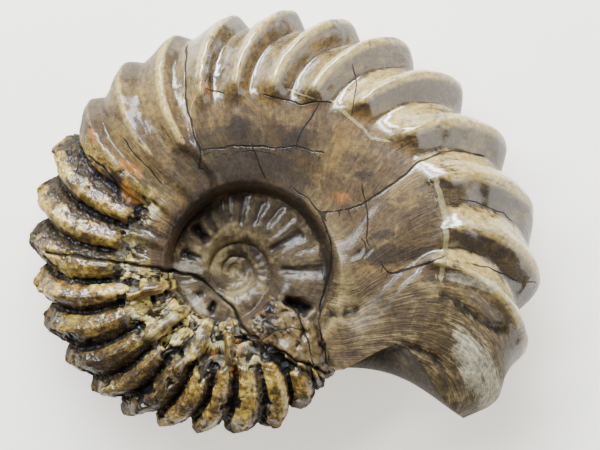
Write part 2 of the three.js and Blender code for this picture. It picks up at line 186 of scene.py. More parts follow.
# Fine cracks: half width in millimetres and depth, then the pixels they pass through
CRACKS = [
    (0.22, 0.3, [(326, 212), (338, 212), (350, 210), (364, 203), (388, 187), (409, 170), (417, 163)]),
    (0.2, 0.3, [(417, 163), (428, 158), (440, 153), (452, 151.5), (466, 153.5), (481, 156.5)]),
    (0.22, 0.3, [(201, 170), (204, 152), (196, 135), (191, 118), (187, 98), (186, 70), (188, 50)]),
    (0.16, 0.25, [(361, 188), (364, 204), (366, 219), (365, 241), (369, 247)]),
    (0.22, 0.3, [(381, 265), (388, 273), (399, 270), (411, 267), (430, 261), (438, 257)]),
    (0.2, 0.25, [(205, 152), (226, 149), (252, 148), (280, 149), (296, 149), (322, 154)]),
    (0.16, 0.2, [(253, 148), (257, 160), (262, 172), (266, 180)]),
    (0.2, 0.25, [(266, 98), (286, 102), (300, 107), (316, 104), (330, 105)]),
    (0.16, 0.2, [(296, 149), (300, 136), (310, 122), (318, 108)]),
    (0.14, 0.2, [(226, 96), (219, 93), (210, 91)]),
    (0.14, 0.2, [(128, 142), (140, 158), (152, 172), (164, 184)]),
    (0.16, 0.2, [(290, 299), (300, 318), (308, 340), (314, 366)]),
    (0.14, 0.2, [(470, 262), (486, 267), (500, 274), (512, 280), (534, 283)]),
    (0.14, 0.2, [(352, 70), (355, 88), (353, 104), (351, 116)]),
    (0.12, 0.15, [(262, 340), (276, 330), (292, 326), (306, 330)]),
    (0.12, 0.15, [(455, 200), (470, 202), (484, 207), (500, 213), (508, 220)]),
    (0.3, 0.5, [(93, 158), (108, 168), (118, 182), (124, 200)]),
    (0.16, 0.2, [(326, 284), (322, 300), (318, 318), (322, 340), (326, 362)]),
    (0.2, 0.2, [(296, 190), (309, 200), (321, 216), (327, 230), (331, 250), (330, 268), (326, 284)]),
]
VEINS = [
    (0.65, -0.18, [
        (415, 160), (421, 168), (433, 180), (438, 198), (442, 219), (443, 237), (440, 261), (438, 277),
    ]),
    (0.35, -0.12, [(333, 105), (347, 118), (360, 130), (370, 141), (385, 143)]),
    (0.15, -0.05, [(290, 92), (302, 97), (312, 101)]),
]

# Hollows and ledges: half width in millimetres, depth, then the pixels along them
HOLLOWS = [
    (0.75, 1.2, [(327, 312), (341, 310), (356, 311)]),
    (0.8, 1.3, [(287, 300), (298, 303), (311, 306)]),
    (0.9, 1.1, [(392, 346), (404, 343), (414, 345), (424, 351), (434, 356)]),
    (0.9, 1.3, [(441, 294), (456, 303), (472, 314), (486, 323), (498, 331)]),
    (0.6, 0.4, [(357, 252), (363, 251), (370, 250)]),
    (0.7, 0.8, [(322, 344), (327, 356), (329, 368)]),
    (0.5, 0.25, [(448, 262), (466, 262), (482, 268), (505, 278), (520, 284)]),
    (0.9, 0.9, [(262, 318), (276, 312), (288, 310)]),
    (0.6, 0.8, [(300, 344), (306, 330), (300, 316)]),
]

# Blotches of each colour: pixel, half length and half width in pixels, turn of the long side
BLOTCHES = {
    "orange": [
        ((135, 170), 15, 5.5, -38), ((131, 192), 13, 7.5, -48), ((140, 201), 8, 4, -20),
        ((208, 90), 8, 4, -60), ((96, 137), 10, 3, -60), ((216, 352), 5, 3, 60),
        ((235, 370), 7, 4, 80), ((240, 345), 10, 4, -80), ((520, 205), 8, 3, -50),
        ((338, 197), 12, 5, -14),
    ],
    # The first pale patch is the pale broken tip's own colour; the others are painted highlights and
    # reflections, on the ribs and on the inner whorl's lower left
    "pale": [
        ((486, 400), 14, 7, 35), ((188, 268), 16, 6, -10), ((196, 300), 20, 5, -50),
        ((470, 224), 26, 3, -22), ((470, 280), 32, 7, -16),
    ],
    "dark": [
        ((262, 165), 34, 14, -8), ((242, 172), 52, 14, 0), ((196, 210), 34, 12, 38),
        ((312, 222), 34, 6, -58), ((326, 262), 24, 6, -80), ((385, 254), 54, 9, 3),
        ((500, 200), 40, 6, -20), ((480, 246), 34, 9, -20), ((440, 185), 20, 5, -8),
        ((362, 176), 10, 6, 0), ((380, 235), 14, 5, 0), ((240, 130), 16, 12, -80),
        # The patch at (395, 385) is painted shade along the lower edge of the body chamber
        ((395, 385), 60, 6, -22), ((318, 385), 10, 14, 0), ((520, 290), 18, 8, -40),
        ((300, 140), 18, 12, 0), ((150, 232), 20, 10, -20), ((255, 255), 10, 5, -70),
    ],
}
# How much of the stone below each colour hides
BLOTCH_STRENGTH = {"orange": 0.6, "pale": 0.5, "dark": 0.75}

# A flat broken face among the crust, in plan: pixel, half length, half width, turn
BROKEN_FACE = ((140, 252), 24, 13, -8)
# The bleached rock at the far end of the body chamber, in the same way
PALE_END = ((480, 374), 50, 17, -60)

LINE_LIMIT = 1.6  # how far from its middle a crack, vein or hollow is felt
LINE_WIDE = 0.55  # the share of that within which it has its width
MM_PER_DEGREE = 0.8  # along the shell's growth, at mid-flank
CAVITY_ROUNDS = 14
CAVITY_DEPTH = 0.45


def px(x, y):
    """The place in plan of a pixel, in millimetres from the coil's centre."""
    return ((x - COIL_PX[0]) * PIXEL, (COIL_PX[1] - y) * PIXEL)


# Maths on arrays

def along(pairs, x):
    """The value of (place, value) pairs at x, along a smooth curve through them."""
    places, values = (np.array(column, float) for column in zip(*pairs))
    x = np.clip(x, places[0], places[-1])
    i = np.clip(np.searchsorted(places, x, side="right") - 1, 0, len(places) - 2)
    slope = np.empty_like(values)
    slope[1:-1] = (values[2:] - values[:-2]) / (places[2:] - places[:-2])
    slope[0] = (values[1] - values[0]) / (places[1] - places[0])
    slope[-1] = (values[-1] - values[-2]) / (places[-1] - places[-2])
    span = places[i + 1] - places[i]
    t = (x - places[i]) / span
    bend = t * t * (3 - 2 * t)
    curve = values[i] + (values[i + 1] - values[i]) * bend
    return curve + span * t * (1 - t) * (slope[i] * (1 - t) - slope[i + 1] * t)


def smoothstep(x, low, high):
    t = np.clip((x - low) / (high - low), 0.0, 1.0)
    return t * t * (3 - 2 * t)


def mix(a, b, t):
    return a + (b - a) * t


def lattice(i, j, k):
    """A repeatable number from 0 to 1 for whole numbers i, j and k."""
    mixed = np.sin(i * 127.1 + j * 311.7 + k * 74.7) * 43758.5453
    return mixed - np.floor(mixed)


def noise(p, size):
    """Smooth noise from -1 to 1 over points p, with lumps of the given size."""
    cell = p / size
    base = np.floor(cell)
    f = cell - base
    u, v, w = (f * f * (3 - 2 * f)).T
    i, j, k = base.T

    def edge(dj, dk):
        return mix(lattice(i, j + dj, k + dk), lattice(i + 1, j + dj, k + dk), u)

    return 2 * mix(mix(edge(0, 0), edge(1, 0), v), mix(edge(0, 1), edge(1, 1), v), w) - 1


def fractal(p, size):
    """Three layers of noise, each half the size and strength of the one before."""
    total = np.zeros(len(p))
    for layer in range(3):
        total += 0.5**layer * noise(p + 17.3 * layer, size / 2**layer)
    return total / 1.75


def cells(p, size):
    """Blocks in random places: the gap to the next block, a random number of the point's block,
    and the height there of a flat tilted face on it."""
    q = p / size
    base = np.floor(q)
    nearest = np.full(len(p), 9.0)
    second = np.full(len(p), 9.0)
    value = np.zeros(len(p))
    face = np.zeros(len(p))
    for di in (-1, 0, 1):
        for dj in (-1, 0, 1):
            for dk in (-1, 0, 1):
                corner = base + (di, dj, dk)
                i, j, k = corner.T
                offset = np.stack([lattice(i, j, k), lattice(j, k, i + 31), lattice(k, i + 57, j)], 1)
                away = q - corner - offset
                distance = (away**2).sum(1)
                closer = distance < nearest
                tilt = np.stack([lattice(i + 7, j, k), lattice(i, j + 7, k), lattice(i, j, k + 7)], 1)
                second = np.where(closer, nearest, np.minimum(second, distance))
                nearest = np.where(closer, distance, nearest)
                value = np.where(closer, lattice(i + 3, j + 5, k), value)
                face = np.where(closer, ((tilt - 0.5) * 2 * away).sum(1), face)
    return np.sqrt(second) - np.sqrt(nearest), value, face


# The shell's measures

def seam(angle):
    return along(SEAM, angle)


def half_breadth(angle):
    return BREADTH / 2 * THINNING ** (-(angle - APERTURE) / TURN)


def reach(angle):
    outer = along(list(zip(RIB_ANGLE, RIB_REACH)), np.minimum(angle, OLD_END))
    return outer * THINNING ** (-np.maximum(angle - OLD_END, 0) / TURN)


def furrow(angle):
    return reach(angle) * (1 - RIB_SHARE * along(RIB_STRENGTH, angle))


def rib_wave(angle):
    """How far from a rib's crest an angle lies: 0 on it, 1 or -1 in the furrow after or before."""
    i = np.clip(np.searchsorted(RIB_ANGLE, angle, side="right") - 1, 0, len(RIBS) - 2)
    start, end = RIB_ANGLE[i], RIB_ANGLE[i + 1]
    low = mix(start, end, RIB_FURROW[i])
    behind = (angle - start) / (low - start)
    before = (angle - end) / (end - low)
    return np.clip(np.where(angle < low, behind, before), -1, 1)


def rib_rise(angle):
    """Height of the outer ribs, from 0 in the furrows to 1 on the crests."""
    wave = rib_wave(angle)
    crease = along(CREST_CREASE, angle)
    power = np.where(wave > 0, STEEP_SIDE, GENTLE_SIDE)
    rounded = (0.5 + 0.5 * np.cos(np.pi * wave)) ** power
    return mix(rounded, 1 - np.abs(wave), crease)


def inner_rib_rise(angle):
    height = np.zeros_like(angle)
    for at, width, high in INNER_RIBS:
        t = np.clip(1 - np.abs(angle - at) / width, 0, 1)
        height = np.maximum(height, high * t * t * (3 - 2 * t))
    return height


def rib_weights(angle, height):
    foot = along(RIB_FOOT, angle)
    outer = smoothstep(height, foot - RIB_RISE / 2, foot + RIB_RISE / 2)
    inner = smoothstep(height, 0, INNER_RIB_FULL) * (1 - outer)
    return outer, inner


def rib_height(angle, height):
    outer, inner = rib_weights(angle, height)
    full = (reach(angle) - furrow(angle)) * mix(FLANK_RIB_SHARE, 1, smoothstep(height, 0.75, 1))
    return full * outer * rib_rise(angle) + inner * inner_rib_rise(angle)


def flank_level(angle, height):
    top = half_breadth(angle) - 0.5 * (reach(angle) - furrow(angle))
    foot = half_breadth(angle + TURN) * WALL_FOOT
    shoulder = along(SHOULDER, angle)
    wall = mix(foot, top, np.sqrt(np.maximum(0, 1 - np.clip(1 - height / shoulder, 0, 1) ** 2)))
    t = np.clip((height - shoulder) / (1 - shoulder), 0, 1)
    flank = top * (1 - t**FLANK_POWER) ** (1 / VENTER_POWER)
    return np.where(height < shoulder, wall, flank)


def sweep_share(angle, height):
    """How much of the ribs' lean there is at a height: none at the belly, all at mid-flank."""
    inward = 1 - height
    bend = np.maximum(0, np.sin(np.pi * np.clip(inward, 0, SWEEP_REACH) / SWEEP_REACH)) ** SWEEP_BEND
    kept = along(SWEEP_KEPT, angle) * np.clip(1 + 2.5 * height, 0, 1)
    return np.where(inward < SWEEP_REACH / 2, bend, mix(bend, 1, kept))


def turned(angle, radius, height, level):
    """The angle in plan of a point: ribs lean, and the aperture's edge bulges and is undercut."""
    ends = smoothstep(angle, APERTURE, APERTURE + SWEEP_FADE)
    ends = ends * (1 - smoothstep(angle, OLD_END - OLD_SWEEP_FADE, OLD_END))
    sweep = along(SWEEP, angle) * sweep_share(angle, height)
    near = 1 - smoothstep(np.minimum(angle - APERTURE, OLD_END - angle), 0, LIP_FADE)
    lip = LIP * np.exp(-(((radius - LIP_RADIUS) / LIP_WIDTH) ** 2))
    scoop = SCOOP * np.exp(-(((radius - SCOOP_RADIUS) / SCOOP_WIDTH) ** 2))
    under = UNDERCUT * smoothstep(-level, -3, BREADTH / 2)
    return angle + ends * sweep + near * (scoop - lip + under)


def plan(angle, radius, height, level):
    a = np.radians(turned(angle, radius, height, level))
    return np.stack([radius * np.cos(a), radius * np.sin(a), level], -1)


def groove_depth(angle, radius, grooves):
    """How deep the grooves between an inner whorl's ribs are."""
    depth = np.zeros_like(radius)
    for at, start, end, width, deep in grooves:
        aside = (np.mod(angle - at + 180, TURN) - 180) / width
        inside = smoothstep(radius, start - 1, start + 1) * (1 - smoothstep(radius, end - 1, end + 0.5))
        depth = np.maximum(depth, deep * np.exp(-aside**2) * inside)
    return depth


def umbilicus_level(angle, radius):
    whorl = angle.copy()
    for _ in range(3):
        whorl = np.where(seam(whorl) > radius, whorl + TURN, whorl)
    start = seam(whorl)
    height = np.clip((radius - start) / (furrow(whorl) - start), 0, 1)
    own = np.where(whorl > angle, 0, rib_height(whorl, height))
    return flank_level(whorl, height) + own


# The fine mesh of the whole shell

FINE_COLUMNS = 473  # as far as the crystals
COARSE_COLUMNS = 147  # under them
COARSE_FROM = 180.0
FACE_COLUMNS = 26
WHORL_ROWS = 76  # from the umbilicus to the belly, on the upper side
UNDER_ROWS = 30
UMBILICUS_ROWS = (34, 14, 10)
UNDER_UMBILICUS_ROWS = (8, 4, 3)
WALL_ROWS = 0.14
BLEND_FROM = 235.0
MIDDLE_WHORL = 3.4


def ring_radius(angle, whorl):
    t = smoothstep(angle, BLEND_FROM, OLD_END)
    return mix(seam(angle + whorl * TURN), seam(APERTURE + whorl * TURN), t)


def section_height(angle, start, t):
    """Spreads steps t, from 0 to 1, evenly over the wall, the flank and the belly."""
    shoulder = along(SHOULDER, angle)
    wall = np.maximum(1e-9, WALL_ROWS * (1 - start / shoulder))
    on_wall = start + (shoulder - start) * (1 - np.cos(np.clip(t / wall, 0, 1) * np.pi / 2))
    low = (np.maximum(start, shoulder) - shoulder) / (1 - shoulder)
    share = np.clip((t - wall) / (1 - wall), 0, 1)
    turn = mix(np.arcsin(low ** (FLANK_POWER / 2)), np.pi / 2, share)
    on_flank = shoulder + (1 - shoulder) * np.sin(turn) ** (2 / FLANK_POWER)
    return np.where(t < wall, on_wall, on_flank)


def flank_point(angle, height, side):
    """Points on the last whorl, out along the surface by the height of the ribs."""
    start = seam(angle)
    span = furrow(angle) - start
    level = flank_level(angle, height)
    shoulder = along(SHOULDER, angle)
    share = np.clip((height - shoulder) / (1 - shoulder), 0, 1)
    half = half_breadth(angle)
    across = share ** (FLANK_POWER - 1) * FLANK_POWER / span
    up = (level / half) ** (VENTER_POWER - 1) * VENTER_POWER / half
    size = np.hypot(across, up)
    out = rib_height(angle, height)
    radius = start + span * height + out * across / size
    return plan(angle, radius, height, side * (level + out * up / size))


def whorl_row(angle, t, side):
    start = (ring_radius(angle, 0) - seam(angle)) / (furrow(angle) - seam(angle))
    height = section_height(angle, start, t)
    return flank_point(angle, height, side), height


def umbilicus_row(angle, whorl, t, side):
    radius = mix(ring_radius(angle, whorl), ring_radius(angle, whorl + 1), t)
    height = (radius - seam(angle)) / (furrow(angle) - seam(angle))
    return plan(angle, radius, height, side * umbilicus_level(angle, radius)), height


class Rings:
    """Collects closed rings of points and the triangles between them."""

    def __init__(self):
        self.points, self.angles, self.heights, self.triangles = [], [], [], []
        self.count = 0
        self.first = self.last = None

    def add(self, points, angle, height):
        ids = np.arange(self.count, self.count + len(points))
        self.points.append(points)
        self.angles.append(angle)
        self.heights.append(height)
        self.count += len(points)
        if self.last is not None:
            self.stitch(self.last, ids)
        if self.first is None:
            self.first = ids
        self.last = ids

    def stitch(self, upper, lower):
        """Joins two rings, of which one may have twice as many points as the other."""
        if len(upper) == 2 * len(lower):
            a, b, c = upper[0::2], upper[1::2], np.roll(upper[0::2], -1)
            d, e = lower, np.roll(lower, -1)
            new = [(a, d, b), (b, d, e), (b, e, c)]
        elif len(lower) == 2 * len(upper):
            a, b = upper, np.roll(upper, -1)
            c, d, e = lower[0::2], lower[1::2], np.roll(lower[0::2], -1)
            new = [(a, c, d), (a, d, b), (b, d, e)]
        else:
            a, b, c, d = upper, np.roll(upper, -1), lower, np.roll(lower, -1)
            new = [(a, c, b), (b, c, d)]
        self.triangles += [np.stack(corners, 1) for corners in new]

    def close(self, point, ring, upward):
        """A fan between one point and a ring."""
        centre = np.full(len(ring), self.count)
        after = np.roll(ring, -1)
        self.triangles.append(np.stack((centre, ring, after) if upward else (centre, after, ring), 1))
        self.points.append(np.array([point]))
        self.angles.append(np.array([APERTURE]))
        self.heights.append(np.array([-1.0]))
        self.count += 1


def with_face(points, angle, height):
    """Adds the columns that cross the aperture, from the old whorl back to the last one."""
    old, young = points[-1], points[0]
    t = np.linspace(0, 1, FACE_COLUMNS + 2)[1:-1, None]
    open_share = smoothstep(np.linalg.norm(young - old), 0, HOLLOW_RIM)
    hollow = HOLLOW * np.sin(np.pi * t) * (1.1 - 0.55 * t) * open_share
    a = np.radians(APERTURE)
    across = mix(old, young, t) + hollow * np.array([-np.sin(a), np.cos(a), 0])
    return (
        np.vstack([points, across]),
        np.concatenate([angle, np.full(FACE_COLUMNS, APERTURE)]),
        np.concatenate([height, np.full(FACE_COLUMNS, 2.0)]),
    )


def shell_rings():
    """All rings, from the middle of the upper umbilicus over the belly to the lower one."""
    rings = Rings()
    angle = np.concatenate([
        np.linspace(APERTURE, COARSE_FROM, FINE_COLUMNS + 1),
        np.linspace(COARSE_FROM, OLD_END, COARSE_COLUMNS + 1)[1:],
    ])
    around = angle[:-1]

    def umbilicus(side, rows, steps):
        found = []
        for whorl, (count, step) in enumerate(zip(rows, steps)):
            own = around[::step]
            for i in range(1, count + 1):
                points, height = umbilicus_row(own, whorl, i / count, side)
                found.append((points, own, height))
        return found

    for row in reversed(umbilicus(1, UMBILICUS_ROWS, (1, 2, 4))):
        rings.add(*row)
    edge, height = umbilicus_row(around, 0, 0.0, 1)
    rings.add(edge, around, height)
    rings.last = None
    rows = [(t / WHORL_ROWS, 1) for t in range(WHORL_ROWS + 1)]
    rows += [(t / UNDER_ROWS, -1) for t in range(UNDER_ROWS - 1, -1, -1)]
    for t, side in rows:
        points, height = whorl_row(angle, t, side)
        rings.add(*with_face(points, angle, height))
    rings.last = None
    edge, height = umbilicus_row(around, 0, 0.0, -1)
    rings.add(edge, around, height)
    half, height = umbilicus_row(around[::2], 0, 0.04, -1)
    rings.add(half, around[::2], height)
    for row in umbilicus(-1, UNDER_UMBILICUS_ROWS, (4, 4, 4)):
        rings.add(*row)
    middle = half_breadth(APERTURE + MIDDLE_WHORL * TURN)
    rings.close((0, 0, -middle), rings.last, False)
    rings.close((0, 0, middle), rings.first, True)
    return rings


def merged(rings):
    """Points that fall together are made one, and triangles without area are dropped."""
    points = np.concatenate(rings.points)
    triangles = np.concatenate(rings.triangles)
    _, keep, to = np.unique(np.round(points, 5), axis=0, return_index=True, return_inverse=True)
    triangles = to.reshape(-1)[triangles]
    a, b, c = triangles.T
    triangles = triangles[(a != b) & (b != c) & (c != a)]
    angles, heights = np.concatenate(rings.angles), np.concatenate(rings.heights)
    return points[keep], angles[keep], heights[keep], triangles


def normals_of(points, triangles):
    a, b, c = (points[triangles[:, i]] for i in range(3))
    flat = np.cross(b - a, c - a)
    total = np.zeros_like(points)
    for axis in range(3):
        for corner in range(3):
            total[:, axis] += np.bincount(triangles[:, corner], flat[:, axis], len(points))
    return total / np.maximum(np.linalg.norm(total, axis=1, keepdims=True), 1e-12)


def smoothed(values, triangles, rounds):
    """Values spread over the neighbours of each point, a number of times."""
    a = triangles.ravel()
    b = np.roll(triangles, 1, axis=1).ravel()
    count = np.maximum(np.bincount(a, minlength=len(values)), 1)
    for _ in range(rounds):
        values = 0.5 * values + 0.5 * np.bincount(a, values[b], len(values)) / count
    return values


# The crystals' own finer surface, between the two arms of the main crack

CRUST_COLUMNS = 500
CRUST_ROWS = 165
CRUST_UNDER_ROWS = 24
CRUST_FROM = 134.0
CRUST_TO = [(0, 268), (10, 272), (16, 285), (24, 300), (30, 306), (60, 308)]
CRUST_UNDER_HEIGHT = 0.86
CRUST_SHOULDER = 0.2
CRUST_RADII = (14.0, 42.0)  # roughly, from the umbilicus to the belly
CRUST_SINK = 1.3
CRUST_EDGE_SINK = 0.8


def crust_grid():
    """Rows of points from the umbilicus over the belly to the underside."""
    share = np.linspace(0, 1, CRUST_COLUMNS)
    rows = [(t, 1) for t in np.linspace(0.0, 1.0, CRUST_ROWS + 1)]
    low = (CRUST_UNDER_HEIGHT - CRUST_SHOULDER) / (1 - CRUST_SHOULDER)
    turn_low = np.arcsin(low ** (FLANK_POWER / 2)) / (np.pi / 2)
    rows += [(t, -1) for t in np.linspace(1.0, turn_low, CRUST_UNDER_ROWS + 1)[1:]]
    points, angles, heights, inside = [], [], [], []
    for t, side in rows:
        end = along(CRUST_TO, np.array(mix(*CRUST_RADII, t)))
        angle = CRUST_FROM + (end - CRUST_FROM) * share
        row, height = whorl_row(angle, np.full_like(angle, t), side)
        points.append(row)
        angles.append(angle)
        heights.append(height)
        edge = np.minimum(share * 60, (1 - share) * 60)
        rim = t * 30 if side > 0 else (t - turn_low) * 40
        inside.append(smoothstep(np.minimum(edge, rim), 0, 1.5))
    columns = CRUST_COLUMNS
    ids = np.arange(len(rows) * columns).reshape(len(rows), columns)
    a, b, c, d = ids[:-1, :-1], ids[:-1, 1:], ids[1:, :-1], ids[1:, 1:]
    triangles = np.concatenate([
        np.stack([a.ravel(), c.ravel(), b.ravel()], 1),
        np.stack([b.ravel(), c.ravel(), d.ravel()], 1),
    ])
    return (np.concatenate(points), np.concatenate(angles), np.concatenate(heights),
            np.concatenate(inside), triangles)


# Lines on the surface: cracks, veins and hollows, in plan

def stretches(p, pixels):
    """For each straight part of a path: how far each point lies beside it, before it and after it."""
    path = [px(*pixel) for pixel in pixels]
    for (x0, y0), (x1, y1) in zip(path[:-1], path[1:]):
        length = np.hypot(x1 - x0, y1 - y0)
        dx, dy = (x1 - x0) / length, (y1 - y0) / length
        rx, ry = p[:, 0] - x0, p[:, 1] - y0
        run = rx * dx + ry * dy
        yield dx * ry - dy * rx, np.maximum(-run, 0), np.maximum(run - length, 0)


def line_field(p, lines):
    """For the nearest of some lines: signed distance, half width, and depth weighted by nearness."""
    best = np.full(len(p), 1e9)
    side = np.full(len(p), LINE_LIMIT)
    width = np.zeros(len(p))
    depth = np.zeros(len(p))
    for half, deep, pixels in lines:
        last = len(pixels) - 2
        for k, (aside, before, after) in enumerate(stretches(p, pixels)):
            beyond = np.maximum(before * (k == 0), after * (k == last))
            inner = np.maximum(before * (k > 0), after * (k < last))
            distance = np.hypot(aside, inner + beyond)
            signed = np.where(aside >= 0, 1, -1) * np.hypot(aside, inner)
            here = (distance < best) & (distance < LINE_LIMIT)
            best = np.where(here, distance, best)
            side = np.where(here, signed, side)
            faded = half * np.clip(1 - beyond, 0, 1) * (distance < LINE_WIDE * LINE_LIMIT)
            width = np.where(here, faded, width)
            depth = np.where(here, deep * np.exp(-((distance / max(half, 0.3)) ** 2)), depth)
    return side, width, depth


def wobbled(p, amount, size):
    shift = np.stack([noise(p, size), noise(p + 40, size), np.zeros(len(p))], 1)
    return p + amount * shift


def blotch(p, pixel, length, width, turn):
    """1 in the middle of an ellipse in plan, falling to 0 at twice its size."""
    x, y = px(*pixel)
    a = np.radians(turn)
    dx, dy = p[:, 0] - x, p[:, 1] - y
    u = (dx * np.cos(a) + dy * np.sin(a)) / (length * PIXEL)
    v = (dy * np.cos(a) - dx * np.sin(a)) / (width * PIXEL)
    return 1 - smoothstep(np.hypot(u, v), 0.5, 1.5)


# Relief and everything that the materials are told about each point

def crust_masks(p):
    """How far a point is among the crystals, and among the rough stone above the main crack."""
    side, _, _ = main_crack_field(p)
    crust = smoothstep(-side, -0.2, 0.5)
    angle = np.degrees(np.arctan2(p[:, 1], p[:, 0])) % TURN
    rough = smoothstep(angle, 128, 142) * (1 - smoothstep(angle, 181, 186))
    return crust, rough


def main_crack_field(p):
    """Distance to the main crack with and without its sign, and how far past its ends a point is."""
    best = np.full(len(p), 1e9)
    signed = np.zeros(len(p))
    past = np.zeros(len(p))
    for aside, before, after in stretches(p, MAIN_CRACK):
        over = np.maximum(before, after)
        distance = np.hypot(aside, over)
        here = distance < best
        best = np.where(here, distance, best)
        signed = np.where(here, np.where(aside >= 0, 1, -1) * distance, signed)
        past = np.where(here, over, past)
    return signed, best, past


def rib_sides(angle, finger, outer):
    """Cream on the ribs' lit side and dark on their shaded side: partly their own colour, partly painted
    light and shade.
    """
    lit_side_cream = smoothstep(finger, -0.06, 0.25) * (1 - smoothstep(finger, 0.85, 1.05)) * outer
    lit_side_cream = lit_side_cream * (1 - 0.75 * smoothstep(angle, 44, 62) - 0.15 * smoothstep(angle, 95, 120))
    dark = smoothstep(-finger, 0.05, 0.4) * (1 - smoothstep(-finger, 0.95, 1.1)) * outer
    dark = dark * (1 - 0.8 * smoothstep(angle, 10, 30))
    # A painted shade line along the bottom of each furrow
    dark += smoothstep(-finger, 0.8, 0.97) * outer * (1 - smoothstep(angle, 50, 90))
    return lit_side_cream, dark


def tints(p):
    """How much of each colour of blotch a point has."""
    kinds = [[blotch(p, *place) for place in places] for places in BLOTCHES.values()]
    return np.stack([np.maximum.reduce(kind) for kind in kinds], 1)


def features(points, angle, height):
    """Relief along the normals and the values that the material reads."""
    # Where on the shell each point lies
    radius = np.hypot(points[:, 0], points[:, 1])
    around = np.degrees(np.arctan2(points[:, 1], points[:, 0])) % TURN
    top = smoothstep(points[:, 2], -4, 0)
    face = height > 1.5
    on_whorl = (height >= 0) & ~face
    flank = np.clip(height, 0, 1)
    outer, _ = rib_weights(angle, flank)
    wave = rib_wave(angle)
    rise = rib_rise(angle)
    inner_rise = np.clip(inner_rib_rise(angle) / 1.6, 0, 1)
    bent = wobbled(points, 0.3, 2.2)

    # Crests and furrows of the crust
    crust, rough = crust_masks(bent)
    inner = 1 - smoothstep(height, -0.004, 0.004)
    crust_whorl = crust * (1 - inner)
    rough = np.maximum(rough * smoothstep(flank, 0.12, 0.3) * (1 - inner), crust_whorl) * ~face
    ragged = 0.2 * fractal(points + 31, 2.6) + 0.12 * fractal(points + 77, 0.9)
    finger = rib_wave(angle + 7 * ragged)
    # Painted light and shade on the crust's ribs: their gold is shifted onto the side of each crest that
    # faces the light, and the far side is left dark; the sides swap at 178 degrees
    away_from_light = np.where(angle > 178, finger, -finger)
    lit_gold_band = np.clip(1.3 - 1.3 * np.abs(away_from_light + 0.22) + ragged, 0, 1)
    broad = smoothstep(inner_rise + ragged, 0.15, 0.6)
    crest = np.maximum(smoothstep(lit_gold_band, 0.15, 0.7) * outer, broad * (1 - outer))
    valley = 1 - crest

    # Crystals and the pits between them
    gap, block, facet = cells(points, 2.6)
    fine_gap, fine_block, fine_facet = cells(points + 50, 1.1)
    lumps = fractal(points + 5, 4.2)
    holes = smoothstep(fractal(points + 90, 2.8), 0.1, 0.3)
    foot = along(RIB_FOOT, angle)
    joint = np.exp(-(((flank - foot + 0.3 * ragged) / 0.07) ** 2))
    cut = smoothstep(fractal(points + 140, 3.6) + 0.25 * joint, 0.3, 0.45)
    groove_pit = outer * smoothstep(1 - rise + 0.8 * ragged, 0.8, 1.05)
    flank_pit = (1 - outer) * holes * valley
    pit = rough * np.clip(groove_pit + flank_pit + 0.8 * cut, 0, 1)

    # Relief of the crust, and then of the polished stone
    broken = blotch(points, *BROKEN_FACE) * rough
    inner_half = (1 - outer) * valley
    plateau = smoothstep(1 - np.abs(finger), 0.15, 0.6) * outer
    blocks = (0.8 * facet + 0.8 * (block - 0.5)) * (0.2 + 0.8 * inner_half)
    blocks += 0.5 * (block - 0.5) * plateau * smoothstep(flank, 0.85, 0.95)
    fine = (0.3 * fine_facet + 0.16 * (fine_block - 0.5)) * (0.3 + 0.7 * valley)
    seams = 0.3 * inner_half * (gap < 0.12) + 0.12 * valley * (fine_gap < 0.1)
    shift = rough * (1 - broken) * (blocks + fine - 0.9 * pit - seams)
    level_top = 0.5 * plateau * (1 - smoothstep(flank, 0.85, 1))
    shift += rough * (0.3 * lumps + 0.45 * broad * (1 - outer) + level_top + 0.6 * ragged * outer)
    shift += broken * (-0.5 + 0.2 * fine_facet)
    patch = smoothstep(angle, 278, 292) * (1 - crust) * (height > 0.05) * on_whorl
    shift += patch * (0.5 * facet + 0.35 * lumps + 0.16 * fine_facet)
    crisp = np.exp(-((finger / 0.14) ** 2)) * outer * (1 - smoothstep(flank, 0.85, 0.95))
    crisp = crisp * (1 - smoothstep(angle, 100, 130))
    uneven = 0.1 * fractal(points, 7) + 0.03 * fractal(points + 9, 1.8)
    shift += (1 - rough) * (uneven + 0.3 * crisp + 0.3 * outer * fractal(points + 60, 4.5))

    # Grooves of the inner whorls
    coil_grooves = groove_depth(around + 6 * ragged, radius, INNER_GROOVES) * inner
    third = groove_depth(around + 4 * ragged, radius, THIRD_WHORL_GROOVES) * inner
    coil_pits = groove_depth(around + 14 * ragged, radius + 3 * ragged, OPEN_GROOVES) * inner
    shift -= 0.75 * coil_grooves + third + 0.6 * coil_pits
    shift += inner * (0.16 * fractal(points + 3, 2.4) + coil_pits * 0.6 * fine_facet)

    # Cracks, veins, hollows and the rim of the umbilicus
    main, main_far, main_past = main_crack_field(bent)
    main_width = (0.24 + 0.5 * np.maximum(ragged, 0)) * top
    main_width = main_width * (main_far < LINE_LIMIT) * (main_past < 0.5)
    shift -= 0.9 * top * np.exp(-((main_far / 0.4) ** 2))
    first, first_width, first_depth = line_field(bent, CRACKS[0::2])
    second, second_width, second_depth = line_field(bent, CRACKS[1::2])
    vein, vein_width, vein_depth = line_field(bent, VEINS)
    _, _, hollow = line_field(wobbled(points, 0.7, 1.7), HOLLOWS)
    shift -= top * (0.2 * np.maximum(first_depth, second_depth) + 0.6 * vein_depth + hollow)
    rim = np.exp(-(((flank - SHOULDER[0][1]) / 0.025) ** 2)) * (height >= 0)
    rim = rim * (1 - smoothstep(angle, 36, 52))
    shift += 0.2 * rim
    shift *= np.where(face, 0.25, 1)

